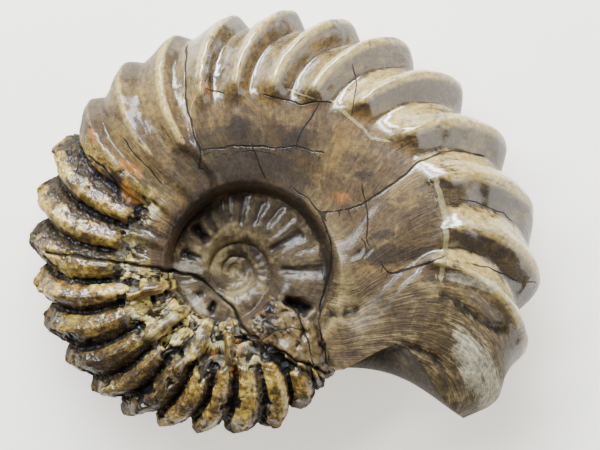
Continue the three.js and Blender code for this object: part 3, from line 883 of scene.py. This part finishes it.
    # What only the colours and the gloss need
    ahead = np.mod(around - APERTURE, TURN)
    chamber = (1 - smoothstep(ahead + 12 * ragged, 26, 35)) * on_whorl
    chamber = chamber * (1 - smoothstep(angle, -24, -14) * smoothstep(flank, 0.58, 0.72))
    lean = along(SWEEP, angle) * sweep_share(angle, flank)
    growth = turned(angle, radius, flank, points[:, 2]) - lean
    growth = np.where(inner > 0.5, around, growth)
    # The ribs' lit and shaded sides, partly painted light and shade
    lit_side_cream, dark = rib_sides(angle, finger, outer * (height >= 0))
    pale_end = blotch(bent, *PALE_END) * chamber
    face_shade = np.where(face, 1 - smoothstep(points[:, 2], 2, 15), 0)
    duller = 1 - 0.2 * (1 - smoothstep(angle, 174, 188))
    duller = duller - 0.45 * smoothstep(angle, 188, 200) * (1 - smoothstep(angle, 234, 250))
    satin = smoothstep(angle, 90, 106) * (1 - smoothstep(angle, 136, 144)) * on_whorl
    # Painted shade over the inner flank on the upper side of the coil, by the umbilicus
    upper_inner_shade = smoothstep(angle, 30, 60) * (1 - smoothstep(angle, 108, 132))
    upper_inner_shade = upper_inner_shade * (1 - smoothstep(height, 0.22, 0.58))
    values = {
        "region": np.stack([rough, np.where(face, 1, chamber), inner], 1),
        "rib": np.stack([rise * outer * (1 - 0.14 * smoothstep(angle, 100, 130)), lit_side_cream, dark], 1),
        "crystal": np.stack([block, fine_block, np.clip(pit + coil_pits, 0, 1)], 1),
        # gold: the crust's crests, their gold partly painted light; the outer ribs; and the painted shade in
        # the inner whorls' grooves
        "gold": np.stack([crest * rough * duller, outer, np.clip(coil_grooves + 2 * third, 0, 1)], 1),
        "zone": np.stack([pale_end, face_shade, patch], 1),
        "flow": np.stack([growth * MM_PER_DEGREE, radius, points[:, 2]], 1),
        "crack_side": np.stack([main, first, second], 1),
        "crack_width": np.stack([main_width, first_width * top, second_width * top], 1),
        "vein": np.stack([vein, vein_width * top, np.clip(hollow, 0, 1) * top], 1),
        "tint": tints(bent) * top[:, None],
        "place": np.stack([np.clip(height, -1, 2), rim, upper_inner_shade], 1),
        "satin": satin,
    }
    return shift, values


# From the coil's own axes to the surface that the shell lies on

def laid_down(p):
    ax, ay = np.radians(TILT_ABOUT_X), np.radians(TILT_ABOUT_Y)
    about_x = np.array([[1, 0, 0], [0, np.cos(ax), -np.sin(ax)], [0, np.sin(ax), np.cos(ax)]])
    about_y = np.array([[np.cos(ay), 0, np.sin(ay)], [0, 1, 0], [-np.sin(ay), 0, np.cos(ay)]])
    q = p @ (about_x @ about_y).T + COIL_CENTRE
    q[:, 2] = np.maximum(q[:, 2], 0)
    low, high = (np.array(corner) / MM for corner in CAD_BOX)
    return np.clip(q, low, high) * MM


def new_mesh_object(name, points, triangles):
    mesh = bpy.data.meshes.new(name)
    mesh.from_pydata(points.tolist(), [], triangles.tolist())
    mesh.update()
    mesh.polygons.foreach_set("use_smooth", np.ones(len(mesh.polygons), bool))
    obj = bpy.data.objects.new(name, mesh)
    bpy.context.scene.collection.objects.link(obj)
    return obj


def store(mesh, name, values):
    kind = "FLOAT" if values.ndim == 1 else "FLOAT_VECTOR"
    attribute = mesh.attributes.new(name, kind, "POINT")
    key = "value" if values.ndim == 1 else "vector"
    attribute.data.foreach_set(key, np.ascontiguousarray(values, np.float32).ravel())


def dressed_object(name, points, triangles, normals, shift, values, reference):
    """Makes the object, and tells its materials how far each point lies below its surroundings."""
    cavity = (shift - smoothed(reference, triangles, CAVITY_ROUNDS)) / CAVITY_DEPTH
    obj = new_mesh_object(name, laid_down(points + normals * shift[:, None]), triangles)
    for key, value in values.items():
        store(obj.data, key, value)
    store(obj.data, "cavity", np.clip(cavity, -1, 1))
    return obj


def build_shell():
    points, angle, height, triangles = merged(shell_rings())
    normals = normals_of(points, triangles)
    shift, values = features(points, angle, height)
    covered = smoothstep(angle, CRUST_FROM + 2, CRUST_FROM + 6) * (height > 0.02) * (height < 1.5)
    radius = np.hypot(points[:, 0], points[:, 1])
    end = along(CRUST_TO, radius)
    covered = covered * (1 - smoothstep(angle, end - 4, end - 1)) * smoothstep(height, 0.02, 0.1)
    under = smoothstep(height, CRUST_UNDER_HEIGHT + 0.01, CRUST_UNDER_HEIGHT + 0.06)
    covered = covered * np.where(points[:, 2] > 0, 1, under)
    sunk = shift - CRUST_SINK * covered
    return dressed_object("ammonite_shell", points, triangles, normals, sunk, values, shift)


def build_crust():
    points, angle, height, inside, triangles = crust_grid()
    normals = normals_of(points, triangles)
    shift, values = features(points, angle, height)
    sunk = shift - CRUST_EDGE_SINK * (1 - inside)
    return dressed_object("crystal_crust", points, triangles, normals, sunk, values, shift)


# Materials

def srgb(red, green, blue):
    """The linear colour of screen values from 0 to 255."""
    def linear(value):
        share = value / 255
        return share / 12.92 if share <= 0.04045 else ((share + 0.055) / 1.055) ** 2.4
    return (linear(red), linear(green), linear(blue), 1.0)


class Shader:
    """A short way to write nodes: each call makes one node and returns an output socket."""

    def __init__(self, tree):
        self.tree = tree

    def put(self, kind, values=(), **settings):
        node = self.tree.nodes.new(kind)
        for name, value in settings.items():
            setattr(node, name, value)
        for key, value in dict(values).items():
            self.feed(node.inputs[key], value)
        return node

    def feed(self, socket, value):
        if isinstance(value, bpy.types.NodeSocket):
            self.tree.links.new(value, socket)
        else:
            socket.default_value = value

    def math(self, operation, a, b=0.0):
        return self.put("ShaderNodeMath", {0: a, 1: b}, operation=operation).outputs[0]

    def product(self, *values):
        total = values[0]
        for value in values[1:]:
            total = self.math("MULTIPLY", total, value)
        return total

    def about(self, value, noise, amount):
        """The value made uneven by noise around 0.5."""
        return self.math("ADD", value, self.product(self.math("SUBTRACT", noise, 0.5), amount))

    def step(self, value, low, high):
        """Rises smoothly from 0 at low to 1 at high, or falls if low is over high."""
        values = {
            "Value": value, "From Min": min(low, high), "From Max": max(low, high),
            "To Min": float(low > high), "To Max": float(low <= high),
        }
        node = self.put("ShaderNodeMapRange", values, interpolation_type="SMOOTHSTEP")
        return node.outputs["Result"]

    def blend(self, factor, a, b, mode="MIX"):
        node = self.put("ShaderNodeMix", {0: factor, 6: a, 7: b}, data_type="RGBA", blend_type=mode)
        return node.outputs[2]

    def layered(self, base, colours, layers):
        """Lays named colours over a base in turn, each as far as its mask and its share let it."""
        for mask, share, name in layers:
            base = self.blend(self.product(mask, share), base, colours[name])
        return base

    def between(self, factor, a, b):
        return self.put("ShaderNodeMix", {0: factor, 2: a, 3: b}, data_type="FLOAT").outputs[0]

    def attribute(self, name, output="Vector"):
        """What the mesh stores at its points under a name."""
        node = self.put("ShaderNodeAttribute", attribute_name=name, attribute_type="GEOMETRY")
        return node.outputs[output]

    def parts(self, name):
        return self.put("ShaderNodeSeparateXYZ", {0: self.attribute(name)}).outputs

    def coordinates(self):
        return self.put("ShaderNodeTexCoord").outputs["Object"]

    def noise(self, where, scale, detail, roughness=0.55, distortion=0.0):
        values = {
            "Vector": where, "Scale": scale, "Detail": detail, "Roughness": roughness,
            "Distortion": distortion,
        }
        return self.put("ShaderNodeTexNoise", values).outputs["Fac"]

    def flow_noise(self, stretch, *settings):
        """Noise that is drawn out along the shell's growth."""
        values = {0: self.attribute("flow"), 1: stretch}
        where = self.put("ShaderNodeVectorMath", values, operation="MULTIPLY").outputs[0]
        return self.noise(where, 1.0, *settings)

    def ramp(self, value, stops):
        node = self.put("ShaderNodeValToRGB", {0: value})
        elements = node.color_ramp.elements
        elements[0].position, elements[0].color = stops[0]
        elements[1].position, elements[1].color = stops[-1]
        for position, colour in stops[1:-1]:
            elements.new(position).color = colour
        return node.outputs["Color"]


def new_group(name, inputs, outputs):
    """An empty node group with its sockets, and the two nodes at its ends."""
    tree = bpy.data.node_groups.new(name, "ShaderNodeTree")
    for socket in inputs:
        tree.interface.new_socket(socket, in_out="INPUT", socket_type="NodeSocketFloat")
    for socket in outputs:
        tree.interface.new_socket(socket, in_out="OUTPUT", socket_type="NodeSocketFloat")
    return tree, tree.nodes.new("NodeGroupInput"), tree.nodes.new("NodeGroupOutput")


def line_mask_group():
    """A ragged line where the distance to its middle is under its half width."""
    if "Line mask" in bpy.data.node_groups:
        return bpy.data.node_groups["Line mask"]
    tree, start, end = new_group("Line mask", ("Side", "Half width", "Raggedness"), ("Mask",))
    shader = Shader(tree)
    ragged = shader.math("SUBTRACT", shader.noise(shader.coordinates(), 700, 4.0), 0.5)
    ragged = shader.product(ragged, start.outputs["Raggedness"])
    away = shader.math("ABSOLUTE", shader.math("ADD", start.outputs["Side"], ragged))
    share = shader.math("DIVIDE", away, shader.math("MAXIMUM", start.outputs["Half width"], 0.001))
    inside = shader.step(share, 1.3, 0.6)
    present = shader.step(start.outputs["Half width"], 0.02, 0.08)
    tree.links.new(shader.product(inside, present), end.inputs["Mask"])
    return tree


def grain_group():
    """Mottling of stone: broad clouds, veining, fine speckle and a height, from 0 to 1."""
    if "Stone grain" in bpy.data.node_groups:
        return bpy.data.node_groups["Stone grain"]
    tree, start, end = new_group("Stone grain", ("Scale",), ("Clouds", "Patches", "Speckle", "Height"))
    shader = Shader(tree)
    values = {0: shader.coordinates(), "Scale": start.outputs["Scale"]}
    where = shader.put("ShaderNodeVectorMath", values, operation="SCALE").outputs[0]
    clouds = shader.noise(where, 130, 8.0, 0.68, 0.8)
    patches = shader.noise(where, 60, 6.0, 0.65, 1.2)
    speckle = shader.noise(where, 900, 5.0, 0.7)
    height = shader.math("ADD", shader.product(speckle, 0.5), clouds)
    outputs = {"Clouds": clouds, "Patches": patches, "Speckle": speckle, "Height": height}
    for name, value in outputs.items():
        tree.links.new(value, end.inputs[name])
    return tree


def use_group(shader, group, values):
    node = shader.put("ShaderNodeGroup")
    node.node_tree = group
    for key, value in values.items():
        shader.feed(node.inputs[key], value)
    return node.outputs


def line_mask(shader, side, half_width, raggedness):
    values = {"Side": side, "Half width": half_width, "Raggedness": raggedness}
    return use_group(shader, line_mask_group(), values)["Mask"]


def polished_colour(shader, colours, grain, streaks, rib, place):
    """Brown stone whose ribs' cream and dark brown sides are partly painted light and shade."""
    shade = shader.about(grain["Clouds"], streaks, 0.5)
    base = shader.ramp(shade, [
        (0.3, colours["deep_brown"]), (0.42, colours["brown"]), (0.5, colours["grey_brown"]),
        (0.58, colours["tan"]), (0.72, colours["ochre"]),
    ])
    lit_side_cream = shader.product(rib[1], shader.step(shade, 0.3, 0.5))
    dark = shader.product(rib[2], shader.step(shade, 0.75, 0.4))
    crest = shader.product(shader.step(rib[0], 0.76, 0.96), shader.step(shade, 0.32, 0.5))
    upper_inner_shade = shader.step(shader.about(place[2], grain["Patches"], 2.0), 0.4, 0.7)
    near_coil = shader.step(shader.about(place[0], grain["Clouds"], 0.12), 0.17, 0.05)
    return shader.layered(base, colours, [
        (shader.step(grain["Patches"], 0.54, 0.6), 0.6, "ochre"),
        (shader.step(grain["Patches"], 0.44, 0.38), 0.6, "grey_brown"),
        # Cream on the ribs' lit side and rib brown on their shaded side: partly the stone's own colour,
        # partly painted light and shade
        (lit_side_cream, 0.9, "cream"),
        (dark, 0.7, "rib_brown"),
        # Paler crests: partly their own colour, partly a painted highlight along each crest
        (crest, 0.85, "crest"),
        # Painted shade along the bottoms of the furrows
        (shader.step(rib[2], 1.05, 1.7), 0.75, "deep_brown"),
        # Painted shade by the umbilicus on the coil's upper side
        (upper_inner_shade, 0.75, "deep_brown"),
        (near_coil, 0.7, "wall"),
    ])


def crust_colour(shader, colours, grain, streaks, crystal, gold):
    """Golden rib crests, yellow and grey crystals and black pits."""
    blocks = shader.ramp(crystal[0], [
        (0.0, colours["dark_gold"]), (0.2, colours["grey_crystal"]), (0.42, colours["umber"]),
        (0.58, colours["dark_gold"]), (0.78, colours["yellow_crystal"]), (1.0, colours["white_crystal"]),
    ])
    grains = shader.ramp(crystal[1], [
        (0.0, colours["black"]), (0.3, colours["umber"]), (0.6, colours["dark_gold"]),
        (0.85, colours["yellow_crystal"]), (1.0, colours["white_crystal"]),
    ])
    blocks = shader.blend(0.45, blocks, grains)
    hairs = shader.flow_noise((2.2, 1.1, 1.1), 7.0, 0.75, 2.0)
    hairy = shader.ramp(hairs, [
        (0.38, colours["black"]), (0.48, colours["umber"]), (0.57, colours["dark_gold"]),
        (0.7, colours["gold"]),
    ])
    blocks = shader.blend(gold[1], blocks, hairy)
    mottled = shader.about(shader.about(grain["Clouds"], streaks, 0.45), crystal[1], 0.14)
    crest = shader.ramp(shader.about(mottled, hairs, 0.45), [
        (0.3, colours["umber"]), (0.4, colours["dark_gold"]), (0.51, colours["gold"]),
        (0.62, colours["bright_gold"]), (0.72, colours["yellow_crystal"]),
    ])
    # The crests' gold, shifted towards the light as painted light
    golden = shader.about(gold[0], hairs, 1.3)
    base = shader.blend(shader.step(golden, 0.3, 0.9), blocks, crest)
    black = shader.about(crystal[2], hairs, 0.9)
    return shader.blend(shader.step(black, 0.4, 0.9), base, colours["black"])


def coil_colour(shader, colours, grain, gold, crystal):
    base = shader.ramp(grain["Clouds"], [
        (0.34, colours["coil_dark"]), (0.5, colours["coil"]), (0.66, colours["coil_pale"]),
    ])
    # Painted shade in the grooves between the inner whorl's ribs
    groove = shader.step(shader.about(gold[2], grain["Clouds"], 0.8), 0.1, 0.75)
    base = shader.blend(shader.product(groove, 0.8), base, colours["coil_groove"])
    return shader.blend(shader.step(crystal[2], 0.3, 0.7), base, colours["black"])


def chamber_colour(shader, colours, grain, streaks):
    fibres = shader.flow_noise((4.5, 0.2, 0.4), 2.0, 0.5)
    mixed = shader.about(shader.about(streaks, fibres, 0.3), grain["Clouds"], 0.8)
    colour = shader.ramp(mixed, [
        (0.3, colours["chamber_dark"]), (0.48, colours["chamber"]), (0.66, colours["chamber_pale"]),
    ])
    return colour, mixed


def shell_material(colours):
    """The one material of the shell and the crust, which reads from the mesh what lies where."""
    material = bpy.data.materials.new("Fossil stone")
    material.use_nodes = True
    tree = material.node_tree
    tree.nodes.clear()
    shader = Shader(tree)
    grain = use_group(shader, grain_group(), {"Scale": 1.0})
    rib, place, region = shader.parts("rib"), shader.parts("place"), shader.parts("region")
    crystal, gold, tint = shader.parts("crystal"), shader.parts("gold"), shader.parts("tint")
    crack_side, crack_width = shader.parts("crack_side"), shader.parts("crack_width")
    vein, zone = shader.parts("vein"), shader.parts("zone")
    cavity, satin = shader.attribute("cavity", "Fac"), shader.attribute("satin", "Fac")
    streaks = shader.flow_noise((1.3, 0.14, 0.5), 6.0, 0.68, 0.5)

    colour = polished_colour(shader, colours, grain, streaks, rib, place)
    patch = shader.ramp(shader.about(grain["Clouds"], crystal[1], 0.3), [
        (0.26, colours["black"]), (0.36, colours["coil_dark"]), (0.48, colours["tan"]),
        (0.64, colours["chamber_pale"]),
    ])
    colour = shader.blend(zone[2], colour, patch)
    chamber, fibres = chamber_colour(shader, colours, grain, streaks)
    pale = shader.product(shader.step(shader.about(zone[0], fibres, 2.2), 0.15, 1.25), 0.8)
    chamber = shader.blend(pale, chamber, colours["chamber_end"])
    colour = shader.blend(region[1], colour, chamber)
    colour = shader.layered(colour, colours, [(zone[1], 0.6, "deep_brown")])
    colour = shader.blend(region[2], colour, coil_colour(shader, colours, grain, gold, crystal))
    crust = crust_colour(shader, colours, grain, streaks, crystal, gold)
    colour = shader.blend(region[0], colour, crust)

    stains = []
    torn = shader.noise(shader.coordinates(), 260, 7.0, 0.7, 0.8)
    for stain, (name, strength) in zip(tint, BLOTCH_STRENGTH.items()):
        torn_edge = shader.step(shader.about(stain, torn, 2.4), 0.35, 0.9)
        mask = shader.product(torn_edge, shader.step(stain, 0, 0.3))
        stains.append((mask, strength, "blotch_" + name))
    vein_mask = line_mask(shader, vein[0], vein[1], 0.5)
    crack = 0.0
    for side, half_width in zip(crack_side, crack_width):
        crack = shader.math("MAXIMUM", crack, line_mask(shader, side, half_width, 0.3))
    # Painted shade: points lying below their surroundings, mostly outside the hollows, darkened towards
    # black
    sunk = shader.product(shader.step(cavity, -0.15, -1.0), shader.step(vein[2], 1.6, 0.2))
    # The belly's outer edge, which gets painted shade where it turns away from the light, and less gloss
    belly = shader.step(place[0], 0.93, 1.04)
    colour = shader.layered(colour, colours, stains + [
        (vein_mask, 0.85, "calcite"),
        (place[1], 0.3, "cream"),
        (crack, 0.85, "black"),
        # Painted shade in the hollows: deep brown, and black at their deepest
        (shader.step(vein[2], 0.3, 1.0), 0.5, "deep_brown"),
        (shader.step(vein[2], 0.88, 1.0), 0.7, "black"),
        # Painted shade in recesses, then raised points a little paler
        (sunk, 0.8, "black"),
        (shader.step(cavity, 0.4, 1.2), 0.2, "crest"),
        # Painted shade along the belly's edge
        (belly, 0.5, "deep_brown"),
    ])
    speckle = shader.step(grain["Speckle"], 0.3, 0.7)
    contrast = shader.blend(speckle, (0.2, 0.2, 0.2, 1), (0.78, 0.78, 0.78, 1))
    colour = shader.blend(0.65, colour, contrast, "OVERLAY")

    matte = shader.math("MAXIMUM", shader.product(region[1], 0.94), crack)
    inner_flank = shader.product(shader.step(place[0], 0.6, 0.45), shader.step(region[0], 0.5, 0.0))
    crust_edge = shader.math("MAXIMUM", shader.between(gold[0], 0.9, 0.5), shader.step(place[0], 0.88, 1.0))
    crust_matte = shader.product(region[0], crust_edge)
    for mask, share in (
        (crystal[2], 0.95), (region[2], 0.8), (crust_matte, 1.0), (zone[2], 0.6), (belly, 0.7),
        (vein[2], 1.0), (inner_flank, 0.8), (satin, 0.78),
    ):
        matte = shader.math("MAXIMUM", matte, shader.product(mask, share))
    roughness = shader.between(matte, shader.between(speckle, 0.2, 0.32), 0.65)
    height = shader.math("SUBTRACT", grain["Height"], shader.product(crack, 2.5))
    height = shader.math("ADD", height, shader.product(vein_mask, 0.6))
    height = shader.math("ADD", height, shader.product(streaks, shader.between(region[0], 1.2, 0.5)))
    height = shader.math("ADD", height, shader.product(fibres, region[1], 0.8))
    bump = shader.put("ShaderNodeBump", {"Strength": 0.6, "Distance": 0.0005, "Height": height})
    polish = shader.put("ShaderNodeBump", {"Strength": 0.6, "Distance": 0.00004, "Height": height})
    surface = shader.put("ShaderNodeBsdfPrincipled", {
        "Base Color": colour, "Roughness": roughness, "Normal": bump.outputs["Normal"],
        "Coat Normal": polish.outputs["Normal"], "Coat Weight": shader.between(matte, 1.0, 0.0),
        "Coat Roughness": 0.13, "Coat IOR": 1.8, "Specular IOR Level": 0.2,
    })
    output = tree.nodes.new("ShaderNodeOutputMaterial")
    tree.links.new(surface.outputs[0], output.inputs["Surface"])
    return material


# What a user would change

def colour_property(name, description, red, green, blue):
    return bpy.props.FloatVectorProperty(
        name=name, description=description, subtype="COLOR", size=4, min=0, max=1,
        default=srgb(red, green, blue))


class AmmoniteColours(bpy.types.PropertyGroup):
    brown: colour_property("Brown", "Polished stone", 78, 59, 35)
    tan: colour_property("Tan", "Lighter clouds in the polished stone", 104, 82, 47)
    ochre: colour_property("Ochre", "Golden patches in the polished stone", 110, 83, 40)
    grey_brown: colour_property("Grey brown", "Greyish clouds in the polished stone", 72, 58, 38)
    deep_brown: colour_property("Deep brown", "Darkest clouds in the polished stone", 38, 29, 18)
    # Rib brown is partly painted shade on the ribs' side away from the light
    rib_brown: colour_property("Rib brown", "Gentle side of the polished ribs", 64, 50, 30)
    wall: colour_property("Wall", "Umbilical wall", 60, 46, 35)
    # Cream is partly painted light on the ribs' side towards the light
    cream: colour_property("Cream", "Steep side of the polished ribs", 178, 152, 88)
    # Crest is partly a painted highlight along the rib crests, partly wear on raised points
    crest: colour_property("Crest", "Highlit_and_worn crests", 178, 154, 92)
    chamber: colour_property("Chamber", "Plain rock of the body chamber", 70, 56, 35)
    chamber_dark: colour_property("Dark chamber", "Dark streaks in that rock", 46, 36, 23)
    chamber_pale: colour_property("Pale chamber", "Pale streaks in that rock", 112, 94, 60)
    chamber_end: colour_property("Chamber end", "Bleached rock at the far end", 172, 166, 142)
    coil: colour_property("Coil", "Inner whorls", 78, 64, 43)
    coil_dark: colour_property("Dark coil", "Clouds on the inner whorls", 42, 32, 23)
    coil_pale: colour_property("Pale coil", "Crests on the inner whorls", 142, 124, 86)
    # Painted shade between the inner whorl's ribs
    coil_groove: colour_property("Coil groove", "Between the inner whorl's ribs", 32, 24, 18)
    gold: colour_property("Gold", "Rib crests of the crust", 112, 87, 36)
    bright_gold: colour_property("Bright gold", "Lightest part of those crests", 166, 138, 60)
    dark_gold: colour_property("Dark gold", "Duller crystals", 62, 47, 24)
    umber: colour_property("Umber", "Brown crystals", 40, 30, 20)
    yellow_crystal: colour_property("Yellow crystal", "Bright crystals", 202, 176, 92)
    grey_crystal: colour_property("Grey crystal", "Clear grey crystals", 116, 112, 94)
    white_crystal: colour_property("White crystal", "White crystals", 214, 210, 182)
    black: colour_property("Black", "Cracks and pits", 12, 10, 8)
    calcite: colour_property("Calcite", "Pale veins", 138, 126, 86)
    blotch_orange: colour_property("Orange", "Iron-stained patches", 146, 92, 38)
    # Pale is mostly painted highlight and reflection, and the broken tip's own colour
    blotch_pale: colour_property("Pale", "Pale grey patches", 158, 154, 134)
    # Dark is mostly the stone's own patches, and painted shade along the chamber's lower edge
    blotch_dark: colour_property("Dark", "Dark brown patches", 38, 29, 21)


class AmmoniteStage(bpy.types.PropertyGroup):
    floor: colour_property("Floor", "The plain surface under the shell", 250, 245, 234)
    lean_x: bpy.props.FloatProperty(
        name="Lean to X", description="How far the camera stands off the vertical towards +X",
        unit="ROTATION", default=float(np.radians(TILT_ABOUT_Y)))
    lean_y: bpy.props.FloatProperty(
        name="Lean to Y", description="How far the camera stands off the vertical towards +Y",
        unit="ROTATION", default=float(np.radians(-TILT_ABOUT_X)))
    lens: bpy.props.FloatProperty(
        name="Lens", description="Focal length of the camera", unit="CAMERA", default=180.0)
    view_width: bpy.props.FloatProperty(
        name="View width", description="How much the camera sees from side to side at the shell",
        unit="LENGTH", default=PHOTO_WIDTH * PIXEL * MM)
    window_power: bpy.props.FloatProperty(
        name="Window", description="Power of the high cool light beyond the shell, in watts", default=4.6)
    low_power: bpy.props.FloatProperty(
        name="Low window", description="Power of the low cool light beyond the shell, in watts", default=9.0)
    left_power: bpy.props.FloatProperty(
        name="Left window", description="Power of the cool light from the left, in watts", default=0.8)
    right_power: bpy.props.FloatProperty(
        name="Right fill", description="Power of the soft light from the right, in watts", default=2.8)
    sky: bpy.props.FloatProperty(
        name="Sky", description="Strength of the even light from all sides", default=0.14)
    floor_glow: bpy.props.FloatProperty(
        name="Floor glow", description="Own light of the plain surface, which keeps it white", default=0.9)


def palette(scene):
    group = scene.ammonite_colours
    return {name: tuple(getattr(group, name)) for name in AmmoniteColours.__annotations__}


def stone(scene):
    if "Fossil stone" not in bpy.data.materials:
        shell_material(palette(scene))
    return bpy.data.materials["Fossil stone"]


class AMMONITE_OT_shell(bpy.types.Operator):
    """Build the whole shell in place of its plain solid"""

    bl_idname = "ammonite.shell"
    bl_label = "Build the shell"

    def execute(self, context):
        shell = build_shell()
        shell.data.materials.append(stone(context.scene))
        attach(shell, "root")
        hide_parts(NODE)
        return {"FINISHED"}


class AMMONITE_OT_crust(bpy.types.Operator):
    """Build the finer surface of the crystals below the main crack"""

    bl_idname = "ammonite.crust"
    bl_label = "Build the crystal crust"

    def execute(self, context):
        crust = build_crust()
        crust.data.materials.append(stone(context.scene))
        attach(crust, "root")
        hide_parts(NODE)
        return {"FINISHED"}


COOL = (0.85, 0.92, 1.0)
WARM = (0.96, 0.95, 0.88)
SKY_COLOUR = (1.0, 0.95, 0.86, 1)

# Each light's name, the setting of its power, and then its place, size and colour, in metres
LIGHTS = [
    ("window", "window_power", (-0.137, 0.302, 0.44), (0.6, 0.07), COOL),
    ("low window", "low_power", (-0.08, 0.46, 0.29), (0.6, 0.1), COOL),
    ("left window", "left_power", (-0.32, 0.14, 0.42), (0.3, 0.06), COOL),
    ("right fill", "right_power", (0.5, -0.12, 0.2), (0.75, 0.6), WARM),
]
LIGHT_TARGET = (0, 0, 0.02)


def area_light(name, power, place, size, colour):
    data = bpy.data.lights.new(name, "AREA")
    data.shape = "ELLIPSE"
    data.size, data.size_y = size
    data.energy = power
    data.color = colour
    light = bpy.data.objects.new(name, data)
    light.location = place
    ahead = Vector(LIGHT_TARGET) - Vector(place)
    light.rotation_euler = ahead.to_track_quat("-Z", "Y").to_euler()
    bpy.context.scene.collection.objects.link(light)


def plain_floor(colour, glow):
    bpy.ops.mesh.primitive_plane_add(size=3.0)
    floor = bpy.context.object
    floor.name = "floor"
    material = bpy.data.materials.new("Pale floor")
    material.use_nodes = True
    surface = material.node_tree.nodes["Principled BSDF"]
    surface.inputs["Base Color"].default_value = colour
    surface.inputs["Emission Color"].default_value = colour
    surface.inputs["Emission Strength"].default_value = glow
    surface.inputs["Roughness"].default_value = 0.9
    floor.data.materials.append(material)


def place_camera(stage):
    data = bpy.data.cameras.new("camera")
    data.lens = stage.lens
    camera = bpy.data.objects.new("camera", data)
    distance = stage.view_width * stage.lens / data.sensor_width
    x, y = px(*PHOTO_MIDDLE)
    target = Vector(COIL_CENTRE) * MM + Vector((x * MM, y * MM, 0))
    away = Vector((np.tan(stage.lean_x), np.tan(stage.lean_y), 1)).normalized()
    right = (Vector((1, 0, 0)) - away * away.x).normalized()
    camera.location = target + away * distance
    camera.rotation_euler = Matrix((right, away.cross(right), away)).transposed().to_euler()
    bpy.context.scene.collection.objects.link(camera)
    bpy.context.scene.camera = camera


class AMMONITE_OT_stage(bpy.types.Operator):
    """Add the floor, the lights and the camera"""

    bl_idname = "ammonite.stage"
    bl_label = "Set the stage"

    def execute(self, context):
        stage = context.scene.ammonite_stage
        plain_floor(tuple(stage.floor), stage.floor_glow)
        for name, setting, place, size, colour in LIGHTS:
            area_light(name, getattr(stage, setting), place, size, colour)
        world = bpy.data.worlds.new("studio")
        context.scene.world = world
        world.use_nodes = True
        background = world.node_tree.nodes["Background"]
        background.inputs["Color"].default_value = SKY_COLOUR
        background.inputs["Strength"].default_value = stage.sky
        place_camera(stage)
        return {"FINISHED"}


class AMMONITE_PT_panel(bpy.types.Panel):
    """Lists the steps that build the fossil and its stage"""

    bl_idname = "AMMONITE_PT_panel"
    bl_label = "Fossil ammonite"
    bl_space_type = "VIEW_3D"
    bl_region_type = "UI"
    bl_category = "Ammonite"

    def draw(self, context):
        for settings, kind in GROUPS.items():
            for name in kind.__annotations__:
                self.layout.prop(getattr(context.scene, settings), name)
        for operator in OPERATORS:
            self.layout.operator(operator.bl_idname)


OPERATORS = (AMMONITE_OT_shell, AMMONITE_OT_crust, AMMONITE_OT_stage)
GROUPS = {"ammonite_colours": AmmoniteColours, "ammonite_stage": AmmoniteStage}


def register():
    for kind in (*GROUPS.values(), *OPERATORS, AMMONITE_PT_panel):
        bpy.utils.register_class(kind)
    for name, group in GROUPS.items():
        setattr(bpy.types.Scene, name, bpy.props.PointerProperty(type=group))


def unregister():
    for name in GROUPS:
        delattr(bpy.types.Scene, name)
    for kind in (AMMONITE_PT_panel, *reversed(OPERATORS), *reversed(GROUPS.values())):
        bpy.utils.unregister_class(kind)


def write_sizes():
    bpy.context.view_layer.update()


def main():
    register()
    bpy.ops.ammonite.shell()
    bpy.ops.ammonite.crust()
    bpy.ops.ammonite.stage()
    write_sizes()


if __name__ == "__main__":
    main()
